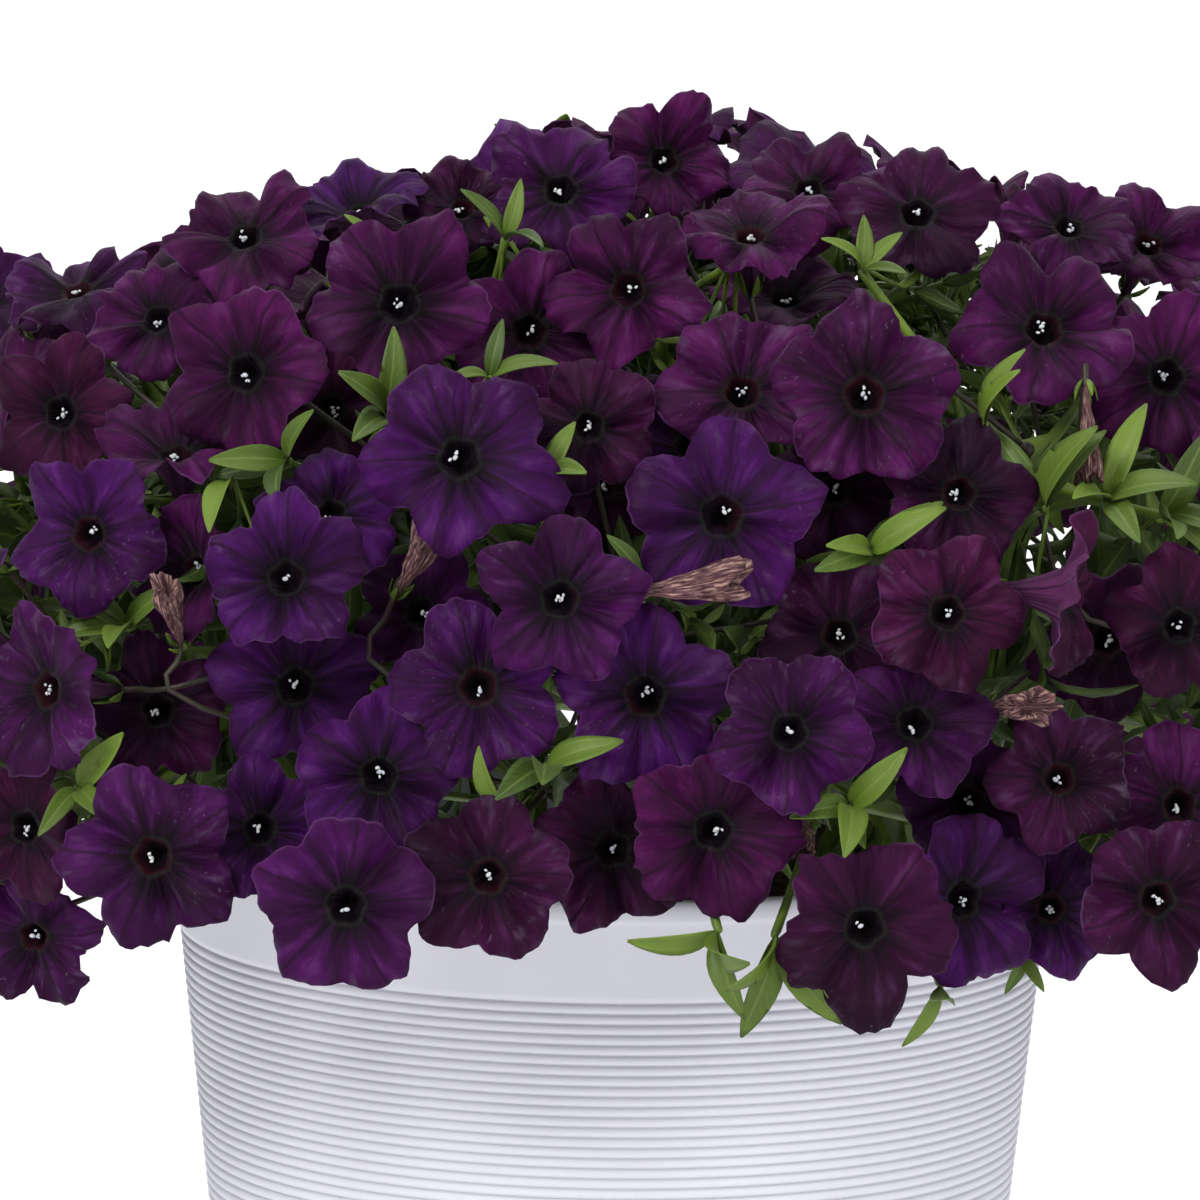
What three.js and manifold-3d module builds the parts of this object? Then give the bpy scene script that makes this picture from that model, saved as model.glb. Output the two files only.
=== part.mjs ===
// Potted spreading petunia: a round ribbed plastic pot, its soil, twelve leafy stems and the sprays
// of five lobed trumpet blooms that they carry. Millimetres, +Z up. The origin is the centre of the
// pot's flat base, and the side that the photograph shows faces -Y.
import * as THREE from "three";
import { mergeVertices } from "three/addons/utils/BufferGeometryUtils.js";
import Module from "manifold-3d";

const wasm = await Module();
wasm.setup();

// Driving sizes of the pot and its soil.
const POT_HEIGHT = 270;
const GROOVE_RADIUS = 150;
const FIRST_GROOVE_HEIGHT = 234;
const POT_TAPER = 0.109;
const POT_SIDES = 26;
const RIB_COUNT = 12;
const RIB_DEPTH = 1.3;
const COLLAR_RADIUS = 152;
const LIP_RADIUS = 156;
const LIP_DEPTH = 7;
const WALL = 3.2;
const FLOOR = 4;
const SOIL_BELOW_RIM = 20;
const SOIL_CROWN = 4;

// Clearances: a piece and the one that it rests on, two blooms, two peduncles, a leaf and its neighbours.
const GAP = 0.35;
const BLOOM_GAP = 0.8;
const ROD_GAP = 1;
const LEAF_GAP = 0.6;

// Driving sizes of the stems.
const OUTER_STEMS = 8;
const INNER_STEMS = 4;
const OUTER_HOLE_RING = 78;
const INNER_HOLE_RING = 34;
const HOLE_RADIUS = 6.5;
const HOLE_DEPTH = 32;
const TRUNK_RADIUS = 3.4;
const BRANCH_RADIUS = 1.9;
const OUTER_HUB = { reach: 136, height: 318 };
const INNER_HUB = { reach: 60, height: 388 };
const BRANCH_SWAYS = [0, 14, 26, 38];

// Driving sizes of a leafy shoot. The long leaves have two sections, the small ones one.
const LEAF_THICK = 0.8;
const LEAF_ARCH = 0.9;
const LEAF_WIDTH = 0.36;
const SMALL_LEAF = 31;
const ROOT_FACETS = 7;
const BUD_RADIUS = 2.1;
const TWIG_RADIUS = 1.4;
const SIDE_SHOOTS = 19;
const SHOOT_TRIES = 700;
const LEAF_TRIES = 10;
const LEAF_TRY_TURN = 0.63;

// Driving sizes of the mound of blooms, as the half axes of a squarish dome over the rim.
const MOUND = { left: 276, right: 306, deep: 258, up: 258, down: 74, middle: 262, power: 2.3 };
const SPRAY_COUNT = 46;
const FILL_SPACING = 60;
const FILL_TRIES = 900;
const FILL_SWAY = 0.38;
const POT_CLEAR = { radius: 175, above: 300, below: 225 };
const MOUND_REACH = 330;
const PHOTO_SIDE = 1200;
const FRONT_FACING = -0.33;
const BESIDE_POT = { below: 960, left: 235, right: 985 };
// The photograph's outline along the mound's top, in its pixels. Blooms and leaves out of its view
// stay under it.
const CREST = [
  [-60, 300], [0, 268], [60, 262], [140, 248], [200, 208], [240, 168], [320, 172], [360, 186], [400, 160],
  [460, 165], [490, 140], [520, 116], [570, 106], [620, 130], [650, 90], [690, 92], [730, 96], [770, 121],
  [860, 126], [890, 148], [970, 146], [1010, 180], [1060, 182], [1120, 190], [1200, 205], [1260, 240],
];
const LEAF_UNDER_CREST = 60;

// Driving sizes of one bloom, for a limb 60 mm across.
const BLOOM_WIDTH = 60;
const NOTCH_SHARE = 0.87;
const SHOULDER_SHARE = 0.98;
const THROAT_RADIUS = 6.2;
const THROAT_HEIGHT = -3.2;
const THROAT_BOTTOM = -14;
const NECK_RADIUS = 8.8;
const NECK_HEIGHT = -9.5;
const TUBE_LENGTH = 36;
const TUBE_END_RADIUS = 2.3;
const KNOB_RADIUS = 3.3;
const FORK_DEPTH = 38;
const BRANCH_END = KNOB_RADIUS + 0.75;
const TUBE_SHARES = [1, 0.8, 0.62];
const SHUT_SCALE = 0.62;
const PEDUNCLE_REACH = TUBE_END_RADIUS + 1.2;

// The viewpoint that the photograph was taken from, with pixels of its 1200 by 1200 frame.
const VIEW = { distance: 3632, height: 882, pitch: 8.34, roll: 0.65, yaw: -0.086, focal: 10520, centre: 600 };

// The blooms seen from the front. px and py are the throat's pixel. wide is the limb's width. yaw and
// tip turn the face to the photograph's right and up. cup lifts the edge and wave ruffles it. peak
// lengthens one lobe. back is the layer behind the foremost blooms. shut is a wilted bloom.
const FRONT_BLOOMS = [
  { px: 398, py: 300, wide: 65, yaw: -5, tip: 18, cup: 2, wave: 5 },
  { px: 865, py: 393, wide: 65, yaw: 5, tip: 12, cup: 1, wave: 3 },
  { px: 722, py: 515, wide: 67, yaw: 2, tip: 2, cup: 0, wave: 2 },
  { px: 458, py: 455, wide: 66, yaw: -5, tip: 16, cup: 0, wave: 3, peak: 1.16 },
  { px: 560, py: 598, wide: 58, yaw: 0, tip: 5, cup: 1, wave: 3 },
  { px: 478, py: 686, wide: 62, yaw: 0, tip: 4, cup: 1, wave: 2 },
  { px: 645, py: 697, wide: 63, yaw: 0, tip: -6, cup: 0, wave: 3 },
  { px: 790, py: 732, wide: 56, yaw: 5, tip: 0, cup: 1, wave: 4 },
  { px: 242, py: 372, wide: 60, yaw: -22, tip: 5, cup: 1, wave: 3 },
  { px: 285, py: 575, wide: 57, yaw: -8, tip: 22, cup: 5, wave: 5 },
  { px: 345, py: 908, wide: 62, yaw: -4, tip: -12, cup: 0, wave: 3 },
  { px: 150, py: 858, wide: 63, yaw: -14, tip: -8, cup: 0, wave: 3 },
  { px: 866, py: 930, wide: 62, yaw: 8, tip: -16, cup: 0, wave: 3, peak: 1.14 },
  { px: 968, py: 900, wide: 60, yaw: 30, tip: -6, cup: 1, wave: 3 },
  { px: 948, py: 612, wide: 55, yaw: 8, tip: 5, cup: 1, wave: 5 },
  { px: 915, py: 722, wide: 54, yaw: 5, tip: 12, cup: 2, wave: 4 },
  { px: 1045, py: 325, wide: 62, yaw: 10, tip: 26, cup: 2, wave: 5 },
  { px: 742, py: 388, wide: 60, yaw: 0, tip: 26, cup: 0, wave: 2, back: 1 },
  { px: 293, py: 683, wide: 60, yaw: -12, tip: 16, cup: 1, wave: 2, back: 1 },
  { px: 378, py: 775, wide: 58, yaw: -6, tip: 2, cup: 1, wave: 2, back: 1 },
  { px: 714, py: 832, wide: 60, yaw: 4, tip: -8, cup: 1, wave: 2, back: 1 },
  { px: 1160, py: 900, wide: 58, yaw: 18, tip: -8, cup: 0, wave: 3 },
  { px: 1183, py: 805, wide: 57, yaw: 20, tip: 2, cup: 0, wave: 3, back: 1 },
  { px: 1052, py: 908, wide: 48, yaw: 12, tip: -2, cup: 3, wave: 4, back: 1 },
  { px: 57, py: 411, wide: 56, yaw: -26, tip: 10, cup: 0, wave: 2, back: 1 },
  { px: 85, py: 533, wide: 56, yaw: -24, tip: 4, cup: 2, wave: 3 },
  { px: 40, py: 690, wide: 60, yaw: -46, tip: 0, cup: 2, wave: 3 },
  { px: 20, py: 828, wide: 55, yaw: -34, tip: -4, cup: 2, wave: 3, back: 1 },
  { px: 30, py: 940, wide: 52, yaw: -26, tip: -22, cup: 0, wave: 2, back: 2 },
  { px: 1170, py: 375, wide: 60, yaw: 20, tip: 8, cup: 0, wave: 2 },
  { px: 625, py: 288, wide: 58, yaw: -18, tip: 8, cup: 3, wave: 4, back: 1 },
  { px: 530, py: 330, wide: 58, yaw: 6, tip: 10, cup: 2, wave: 3, back: 2 },
  { px: 155, py: 315, wide: 52, yaw: -22, tip: 32, cup: 0, wave: 3, back: 1 },
  { px: 243, py: 231, wide: 57, yaw: -16, tip: 44, cup: 0, wave: 5 },
  { px: 560, py: 186, wide: 55, yaw: -4, tip: 26, cup: 0, wave: 5 },
  { px: 665, py: 158, wide: 47, yaw: 12, tip: 20, cup: 5, wave: 6 },
  { px: 808, py: 186, wide: 48, yaw: 0, tip: 34, cup: 0, wave: 2, back: 1 },
  { px: 918, py: 208, wide: 58, yaw: 6, tip: 34, cup: -2, wave: 4 },
  { px: 462, py: 205, wide: 42, yaw: 0, tip: 38, cup: 2, wave: 4, back: 2 },
  { px: 750, py: 228, wide: 56, yaw: 0, tip: 56, cup: 3, wave: 5, back: 1 },
  { px: 785, py: 292, wide: 56, yaw: 6, tip: 60, cup: 4, wave: 5, back: 1 },
  { px: 355, py: 205, wide: 54, yaw: -34, tip: 62, cup: 4, wave: 4, back: 1 },
  { px: 75, py: 283, wide: 55, yaw: -34, tip: 56, cup: 0, wave: 4 },
  { px: 1070, py: 222, wide: 50, yaw: 16, tip: 44, cup: 2, wave: 5, back: 1 },
  { px: 1150, py: 240, wide: 50, yaw: 20, tip: 36, cup: 2, wave: 5, back: 1 },
  { px: 1015, py: 218, wide: 36, yaw: 60, tip: 76, cup: 8, wave: 3, back: 2 },
  { px: 175, py: 448, wide: 56, yaw: -16, tip: 58, cup: 5, wave: 5, back: 1 },
  { px: 190, py: 570, wide: 52, yaw: -44, tip: 2, cup: 4, wave: 3, back: 2 },
  { px: 155, py: 710, wide: 54, yaw: -18, tip: 2, cup: 0, wave: 2, back: 2 },
  { px: 258, py: 828, wide: 52, yaw: -14, tip: 4, cup: 2, wave: 3, back: 2 },
  { px: 488, py: 878, wide: 58, yaw: 0, tip: -10, cup: 0, wave: 2, back: 1 },
  { px: 612, py: 850, wide: 56, yaw: 2, tip: -6, cup: 1, wave: 3, back: 2 },
  { px: 588, py: 425, wide: 50, yaw: 0, tip: 12, cup: 0, wave: 2, back: 3 },
  { px: 604, py: 486, wide: 42, yaw: 10, tip: 10, cup: 2, wave: 3, back: 3 },
  { px: 330, py: 408, wide: 48, yaw: -6, tip: 12, cup: 0, wave: 2, back: 3 },
  { px: 690, py: 442, wide: 54, yaw: -6, tip: 24, cup: 1, wave: 3, back: 2 },
  { px: 835, py: 490, wide: 50, yaw: 6, tip: 4, cup: 0, wave: 2, back: 3 },
  { px: 960, py: 492, wide: 54, yaw: 8, tip: 8, cup: 0, wave: 2, back: 2 },
  { px: 840, py: 634, wide: 54, yaw: 4, tip: 8, cup: 0, wave: 2, back: 2 },
  { px: 420, py: 612, wide: 50, yaw: -6, tip: 8, cup: 0, wave: 2, back: 3 },
  { px: 330, py: 512, wide: 48, yaw: -6, tip: 16, cup: 0, wave: 2, back: 3 },
  { px: 1108, py: 640, wide: 56, yaw: 10, tip: 2, cup: 1, wave: 2, back: 2 },
  { px: 1182, py: 625, wide: 54, yaw: 20, tip: 4, cup: 2, wave: 3, back: 1 },
  { px: 1060, py: 778, wide: 52, yaw: 10, tip: 6, cup: 2, wave: 4, back: 2 },
  { px: 1076, py: 596, wide: 58, yaw: 78, tip: -4, cup: 2, wave: 3 },
  { px: 970, py: 800, wide: 50, yaw: 6, tip: 2, cup: 0, wave: 2, back: 3 },
  { px: -20, py: 300, wide: 54, yaw: -38, tip: 30, cup: 0, wave: 3, back: 1 },
  { px: 690, py: 585, wide: 20, yaw: 70, tip: 6, shut: 1 },
  { px: 420, py: 553, wide: 19, yaw: 30, tip: 40, shut: 1, back: 1 },
  { px: 172, py: 612, wide: 18, yaw: -10, tip: 30, shut: 1, back: 1 },
  { px: 1012, py: 706, wide: 22, yaw: 20, tip: 0, shut: 1, back: 1 },
  { px: 1088, py: 446, wide: 13, yaw: 10, tip: -78, shut: 1 },
  { px: 805, py: 842, wide: 12, yaw: 0, tip: -20, shut: 1, back: 1 },
];

// The green shoots seen between the blooms. depth is how far behind the mound's surface a shoot's
// tip lies. count and long are its leaves. right and up lean it to the photograph's right and up.
const FRONT_SHOOTS = [
  { px: 1105, py: 372, depth: 4, count: 4, long: 20, right: 0.1, up: 0.9 },
  { px: 1045, py: 508, depth: 14, count: 4, long: 34, right: -0.4, up: 0.6 },
  { px: 1105, py: 500, depth: 16, count: 4, long: 34, right: 0.1, up: 0.5 },
  { px: 1160, py: 515, depth: 12, count: 4, long: 32, right: 0.5, up: 0.3 },
  { px: 985, py: 425, depth: 12, count: 2, long: 32, right: -0.3, up: 0.6 },
  { px: 870, py: 552, depth: 18, count: 4, long: 30, right: 0.2, up: 0.3 },
  { px: 385, py: 418, depth: 20, count: 4, long: 32, right: 0.2, up: 0.5 },
  { px: 290, py: 462, depth: 18, count: 4, long: 30, right: -0.5, up: 0.2 },
  { px: 232, py: 478, depth: 18, count: 3, long: 28, right: -0.5, up: 0.4 },
  { px: 122, py: 502, depth: 4, count: 3, long: 17, right: 0.1, up: 0.5 },
  { px: 128, py: 628, depth: 18, count: 4, long: 28, right: -0.3, up: 0.4 },
  { px: 547, py: 478, depth: 22, count: 3, long: 26, right: 0, up: 0.6 },
  { px: 490, py: 378, depth: 18, count: 3, long: 24, right: 0, up: 0.6 },
  { px: 505, py: 240, depth: 14, count: 3, long: 24, right: 0.3, up: 0.8 },
  { px: 862, py: 272, depth: 14, count: 4, long: 22, right: 0.2, up: 0.7 },
  { px: 640, py: 572, depth: 6, count: 3, long: 17, right: 0.2, up: 0.3 },
  { px: 545, py: 768, depth: 20, count: 4, long: 30, right: 0.1, up: 0.5 },
  { px: 500, py: 800, depth: 20, count: 3, long: 26, right: -0.3, up: -0.3 },
  { px: 850, py: 806, depth: 16, count: 4, long: 32, right: 0.1, up: 0.2 },
  { px: 80, py: 790, depth: 18, count: 3, long: 26, right: -0.2, up: 0.3 },
  { px: 718, py: 930, depth: 14, count: 3, long: 34, right: -0.3, up: -0.8 },
  { px: 775, py: 935, depth: 14, count: 3, long: 34, right: 0.3, up: -0.8 },
  { px: 940, py: 985, depth: 20, count: 2, long: 24, right: 0, up: -0.9 },
  { px: 1024, py: 952, depth: 24, count: 3, long: 18, right: 0.1, up: -0.7 },
  { px: 117, py: 345, depth: 8, count: 2, long: 16, right: 0.2, up: 0.8 },
  { px: 372, py: 243, depth: 10, count: 2, long: 15, right: 0.2, up: 0.9 },
  { px: 735, py: 262, depth: 10, count: 2, long: 16, right: -0.3, up: 0.8 },
];

const UP = new THREE.Vector3(0, 0, 1);
const MIDDLE = new THREE.Vector3(0, 0, MOUND.middle);
const GOLDEN_TURN = Math.PI * (3 - Math.sqrt(5));
const radians = THREE.MathUtils.degToRad;

// A repeatable random number from 0 to 1.
function seeded(start) {
  let state = start;
  return () => {
    state = (state + 0x6d2b79f5) | 0;
    let t = Math.imul(state ^ (state >>> 15), 1 | state);
    t = (t + Math.imul(t ^ (t >>> 7), 61 | t)) ^ t;
    return ((t ^ (t >>> 14)) >>> 0) / 4294967296;
  };
}

const random = seeded(11);
const between = (low, high) => low + (high - low) * random();

// The photograph's viewpoint as a place and three directions.
function viewpoint() {
  const pitch = radians(VIEW.pitch);
  const yaw = radians(VIEW.yaw);
  const roll = radians(VIEW.roll);
  const forward = new THREE.Vector3(
    Math.sin(yaw) * Math.cos(pitch), Math.cos(yaw) * Math.cos(pitch), -Math.sin(pitch));
  const level = new THREE.Vector3(Math.cos(yaw), -Math.sin(yaw), 0);
  const upright = level.clone().cross(forward);
  const right = level.clone().multiplyScalar(Math.cos(roll)).addScaledVector(upright, Math.sin(roll));
  const up = upright.clone().multiplyScalar(Math.cos(roll)).addScaledVector(level, -Math.sin(roll));
  return { eye: new THREE.Vector3(0, -VIEW.distance, VIEW.height), forward, right, up };
}

const view = viewpoint();

// The direction from the viewpoint through a pixel of the photograph.
function rayThrough(px, py) {
  return view.forward.clone()
    .addScaledVector(view.right, (px - VIEW.centre) / VIEW.focal)
    .addScaledVector(view.up, -(py - VIEW.centre) / VIEW.focal)
    .normalize();
}

// The pixel of the photograph that a point falls on.
function pixelOf(point) {
  const away = point.clone().sub(view.eye);
  const depth = away.dot(view.forward);
  return {
    px: VIEW.centre + VIEW.focal * away.dot(view.right) / depth,
    py: VIEW.centre - VIEW.focal * away.dot(view.up) / depth,
  };
}

// How far out of the mound a point is: below 1 inside it, 1 on its surface.
function moundLevel(p) {
  const across = Math.abs(p.x) / (p.x < 0 ? MOUND.left : MOUND.right);
  const deep = Math.abs(p.y) / MOUND.deep;
  const rise = p.z - MOUND.middle;
  const high = Math.abs(rise) / (rise < 0 ? MOUND.down : MOUND.up);
  return across ** MOUND.power + deep ** MOUND.power + high ** MOUND.power;
}

// The mound's outward normal near a point.
function moundNormal(p) {
  const step = 0.5;
  const slope = (axis) => {
    const ahead = p.clone().setComponent(axis, p.getComponent(axis) + step);
    const behind = p.clone().setComponent(axis, p.getComponent(axis) - step);
    return moundLevel(ahead) - moundLevel(behind);
  };
  return new THREE.Vector3(slope(0), slope(1), slope(2)).normalize();
}

// Whether the photograph shows the part of the mound's surface where a point lies, or shows plain
// background there, as it does beside the pot.
function inPhoto(place, normal, margin) {
  const { px, py } = pixelOf(place);
  const besidePot = py > BESIDE_POT.below && (px < BESIDE_POT.left || px > BESIDE_POT.right);
  const within = px > -margin && px < PHOTO_SIDE + margin;
  return within && (besidePot || normal.dot(view.forward) < FRONT_FACING);
}

// The point of the mound's surface that a ray from its middle reaches.
function onMound(ray) {
  let size = MOUND_REACH;
  while (moundLevel(MIDDLE.clone().addScaledVector(ray, size)) > 1) size -= 1;
  return MIDDLE.clone().addScaledVector(ray, size);
}

// Where a line of sight first meets the mound, or where it passes nearest to it.
function sightOnMound(direction) {
  const start = VIEW.distance - MOUND_REACH;
  const end = VIEW.distance + MOUND_REACH / 2;
  const step = 2;
  let nearest = start;
  let lowest = Infinity;
  for (let t = start; t < end; t += step) {
    const level = moundLevel(view.eye.clone().addScaledVector(direction, t));
    if (level < 1) return t;
    if (level < lowest) {
      lowest = level;
      nearest = t;
    }
  }
  return nearest;
}

// Triangles collected as triples of points.
class Skin {
  constructor() {
    this.points = [];
  }

  face(a, b, c) {
    this.points.push(a, b, c);
  }

  // Joins two rings that run the same way round, the first below or outside the second.
  bridge(lower, upper) {
    let i = 0;
    let j = 0;
    while (i < lower.length || j < upper.length) {
      const a = lower[i % lower.length];
      const b = upper[j % upper.length];
      const nextLower = (i + 0.5) / lower.length;
      const nextUpper = (j + 0.5) / upper.length;
      if (j === upper.length || (i < lower.length && nextLower < nextUpper)) {
        this.face(a, lower[(i + 1) % lower.length], b);
        i += 1;
      } else {
        this.face(a, upper[(j + 1) % upper.length], b);
        j += 1;
      }
    }
  }

  // Fans a ring to a tip.
  close(ring, tip) {
    for (let i = 0; i < ring.length; i += 1) this.face(ring[i], ring[(i + 1) % ring.length], tip);
  }

  // The triangles as one mesh with shared corners.
  geometry() {
    const geometry = new THREE.BufferGeometry().setFromPoints(this.points);
    return mergeVertices(geometry, 1e-4);
  }
}

// A closed mesh as a solid that can be joined or cut.
function solid(geometry) {
  const bare = geometry.clone();
  bare.deleteAttribute("normal");
  bare.deleteAttribute("uv");
  const merged = mergeVertices(bare, 1e-4);
  return new wasm.Manifold(new wasm.Mesh({
    numProp: 3,
    vertProperties: Float32Array.from(merged.attributes.position.array),
    triVerts: Uint32Array.from(merged.index.array),
  }));
}

// A joined solid as a mesh.
function geometryOf(body) {
  const mesh = body.getMesh();
  const geometry = new THREE.BufferGeometry();
  geometry.setAttribute("position", new THREE.BufferAttribute(mesh.vertProperties, 3));
  geometry.setIndex(new THREE.BufferAttribute(mesh.triVerts, 1));
  return geometry;
}

// The triangles of a skin or geometry with their boxes, for tests of clearance.
function outline(geometry) {
  const place = geometry.attributes.position;
  const count = geometry.index ? geometry.index.count : place.count;
  const vertex = (n) => (geometry.index ? geometry.index.getX(n) : n);
  const at = (n) => new THREE.Vector3().fromBufferAttribute(place, vertex(n));
  const facets = [];
  const whole = new THREE.Box3();
  for (let n = 0; n < count; n += 3) {
    const corners = [at(n), at(n + 1), at(n + 2)];
    const box = new THREE.Box3().setFromPoints(corners);
    whole.union(box);
    facets.push({ corners, box, triangle: new THREE.Triangle(...corners) });
  }
  return { facets, whole };
}

const probe = new THREE.Ray();
const hit = new THREE.Vector3();

// Whether an edge passes through a triangle.
function edgeCrosses(from, to, corners) {
  probe.origin.copy(from);
  probe.direction.copy(to).sub(from);
  const length = probe.direction.length();
  if (length === 0) return false;
  probe.direction.divideScalar(length);
  const found = probe.intersectTriangle(corners[0], corners[1], corners[2], false, hit);
  return found !== null && hit.distanceTo(from) <= length;
}

// Whether a corner lies nearer to a triangle than a gap.
const touches = (triangle, corner, gap) => triangle.closestPointToPoint(corner, hit).distanceTo(corner) < gap;

// Whether two triangles cross or come nearer than a gap.
function facetsMeet(one, other, gap) {
  for (let k = 0; k < 3; k += 1) {
    const next = (k + 1) % 3;
    if (edgeCrosses(one.corners[k], one.corners[next], other.corners)) return true;
    if (edgeCrosses(other.corners[k], other.corners[next], one.corners)) return true;
    if (touches(other.triangle, one.corners[k], gap)) return true;
    if (touches(one.triangle, other.corners[k], gap)) return true;
  }
  return false;
}

// Whether two outlines cross or come nearer than a gap.
function meet(one, other, gap) {
  const reach = one.whole.clone().expandByScalar(gap);
  if (!reach.intersectsBox(other.whole)) return false;
  for (const a of one.facets) {
    const near = a.box.clone().expandByScalar(gap);
    if (!near.intersectsBox(other.whole)) continue;
    for (const b of other.facets) {
      if (near.intersectsBox(b.box) && facetsMeet(a, b, gap)) return true;
    }
  }
  return false;
}

const isClear = (piece, others, gap) => others.every((other) => !meet(piece, other, gap));

// The radius of the pot's tapered wall at a height.
const potWall = (height) => GROOVE_RADIUS - POT_TAPER * (FIRST_GROOVE_HEIGHT - height);

// The pot: flat base, rounded ribs, a smooth collar and a lip.
function makePot() {
  const profile = [new THREE.Vector2(0, 0), new THREE.Vector2(potWall(0) - RIB_DEPTH, 0)];
  const pitch = FIRST_GROOVE_HEIGHT / RIB_COUNT;
  for (let rib = 0; rib < RIB_COUNT; rib += 1) {
    const crest = (rib + 0.5) * pitch;
    const groove = (rib + 1) * pitch;
    profile.push(new THREE.Vector2(potWall(crest) + RIB_DEPTH, crest));
    profile.push(new THREE.Vector2(potWall(groove), groove));
  }
  const lipFoot = POT_HEIGHT - LIP_DEPTH;
  profile.push(
    new THREE.Vector2(COLLAR_RADIUS, FIRST_GROOVE_HEIGHT + 3),
    new THREE.Vector2(COLLAR_RADIUS + 2, lipFoot - 2),
    new THREE.Vector2(LIP_RADIUS, lipFoot),
    new THREE.Vector2(LIP_RADIUS, POT_HEIGHT - 1.5),
    new THREE.Vector2(LIP_RADIUS - 1.5, POT_HEIGHT),
    new THREE.Vector2(potWall(POT_HEIGHT) - WALL, POT_HEIGHT),
    new THREE.Vector2(potWall(FLOOR) - WALL - RIB_DEPTH, FLOOR),
    new THREE.Vector2(0, FLOOR),
  );
  const pot = new THREE.LatheGeometry(profile, POT_SIDES);
  pot.rotateX(Math.PI / 2);
  return geometryOf(solid(pot));
}

const pot = makePot();
const potOutline = outline(pot);

// Where a stem leaves the soil and where its branches part.
function stemPlan(index) {
  const outer = index < OUTER_STEMS;
  const count = outer ? OUTER_STEMS : INNER_STEMS;
  const turn = radians(outer ? 22.5 : 45) + 2 * Math.PI * index / count;
  const around = new THREE.Vector3(Math.cos(turn), Math.sin(turn), 0);
  const ring = outer ? OUTER_HOLE_RING : INNER_HOLE_RING;
  const hub = outer ? OUTER_HUB : INNER_HUB;
  const surface = POT_HEIGHT - SOIL_BELOW_RIM;
  return {
    name: `stem_${String(index + 1).padStart(2, "0")}`,
    pieces: [],
    joints: [],
    foot: around.clone().multiplyScalar(ring).setZ(surface - HOLE_DEPTH + 1),
    collar: around.clone().multiplyScalar(ring).setZ(surface + 6),
    hub: around.clone().multiplyScalar(hub.reach).setZ(hub.height),
  };
}

const stems = Array.from({ length: OUTER_STEMS + INNER_STEMS }, (_, index) => stemPlan(index));

// The soil that fills the pot, with a hole for each stem.
function makeSoil() {
  const top = POT_HEIGHT - SOIL_BELOW_RIM;
  const slope = (potWall(POT_HEIGHT) - potWall(FLOOR) + RIB_DEPTH) / (POT_HEIGHT - FLOOR);
  const low = FLOOR + GAP;
  const radiusAt = (height) => potWall(FLOOR) - WALL - RIB_DEPTH + slope * (height - FLOOR) - GAP;
  const profile = [
    new THREE.Vector2(0, low),
    new THREE.Vector2(radiusAt(low) - 0.1, low),
    new THREE.Vector2(radiusAt(top) - 0.1, top),
    new THREE.Vector2(radiusAt(top) * 0.6, top + SOIL_CROWN * 0.7),
    new THREE.Vector2(0, top + SOIL_CROWN),
  ];
  const soil = new THREE.LatheGeometry(profile, POT_SIDES);
  soil.rotateX(Math.PI / 2);
  let body = solid(soil);
  for (const stem of stems) {
    const hole = new THREE.CylinderGeometry(HOLE_RADIUS, HOLE_RADIUS, HOLE_DEPTH + 20, 6);
    hole.rotateX(Math.PI / 2);
    hole.translate(stem.foot.x, stem.foot.y, top - HOLE_DEPTH + (HOLE_DEPTH + 20) / 2);
    body = body.subtract(solid(hole));
  }
  return geometryOf(body);
}

// One bloom's frame: where its throat is, which way it faces and how its lobes are turned.
function bloomFrame(place, face, turn) {
  const side = new THREE.Vector3().crossVectors(UP, face);
  if (side.lengthSq() < 1e-4) side.set(1, 0, 0);
  side.normalize();
  const top = new THREE.Vector3().crossVectors(face, side);
  const x = side.clone().multiplyScalar(Math.cos(turn)).addScaledVector(top, Math.sin(turn));
  const y = new THREE.Vector3().crossVectors(face, x);
  return { place, face, x, y };
}

// A point given in a bloom's frame.
const inFrame = (frame, x, y, z) => frame.place.clone()
  .addScaledVector(frame.x, x).addScaledVector(frame.y, y).addScaledVector(frame.face, z);

// A ring of points square to a frame's face.
function ringIn(frame, count, phase, radius, height) {
  return Array.from({ length: count }, (_, k) => {
    const angle = phase + 2 * Math.PI * k / count;
    return inFrame(frame, radius * Math.cos(angle), radius * Math.sin(angle), height);
  });
}

// The edge of the five lobed limb. Each lobe has a notch, then one tip or two shoulders.
function limbEdge(frame, bloom) {
  const steps = bloom.fine ? [0, 0.82, 2.18] : [0, 1.5];
  const edge = [];
  for (let lobe = 0; lobe < 5; lobe += 1) {
    steps.forEach((step, part) => {
      const angle = 2 * Math.PI * (lobe * 3 + step) / 15 - Math.PI / 5;
      const share = part === 0 ? NOTCH_SHARE : (bloom.fine ? SHOULDER_SHARE : 1);
      const peak = lobe === 1 && part > 0 ? bloom.peak : 1;
      const radius = bloom.radius * share * peak;
      const lift = bloom.cup + bloom.waves[lobe * 3 + part] * bloom.wave * bloom.wide / BLOOM_WIDTH;
      edge.push(inFrame(frame, radius * Math.cos(angle), radius * Math.sin(angle), lift));
    });
  }
  return edge;
}

// The rings of a bloom from its limb to the end of its tube.
function bloomRings(bloom) {
  const scale = bloom.shut ? SHUT_SCALE : bloom.wide / BLOOM_WIDTH;
  const frame = bloom.frame;
  return {
    edge: limbEdge(frame, bloom),
    throat: ringIn(frame, 5, -Math.PI / 5, THROAT_RADIUS * scale, THROAT_HEIGHT * scale),
    pit: inFrame(frame, 0, 0, THROAT_BOTTOM * scale),
    neck: ringIn(frame, 5, -Math.PI / 5, NECK_RADIUS * scale, NECK_HEIGHT * scale),
    end: ringIn(frame, 3, -Math.PI / 5, TUBE_END_RADIUS, -TUBE_LENGTH * scale * bloom.tube),
    endCentre: inFrame(frame, 0, 0, -TUBE_LENGTH * scale * bloom.tube),
  };
}

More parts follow.
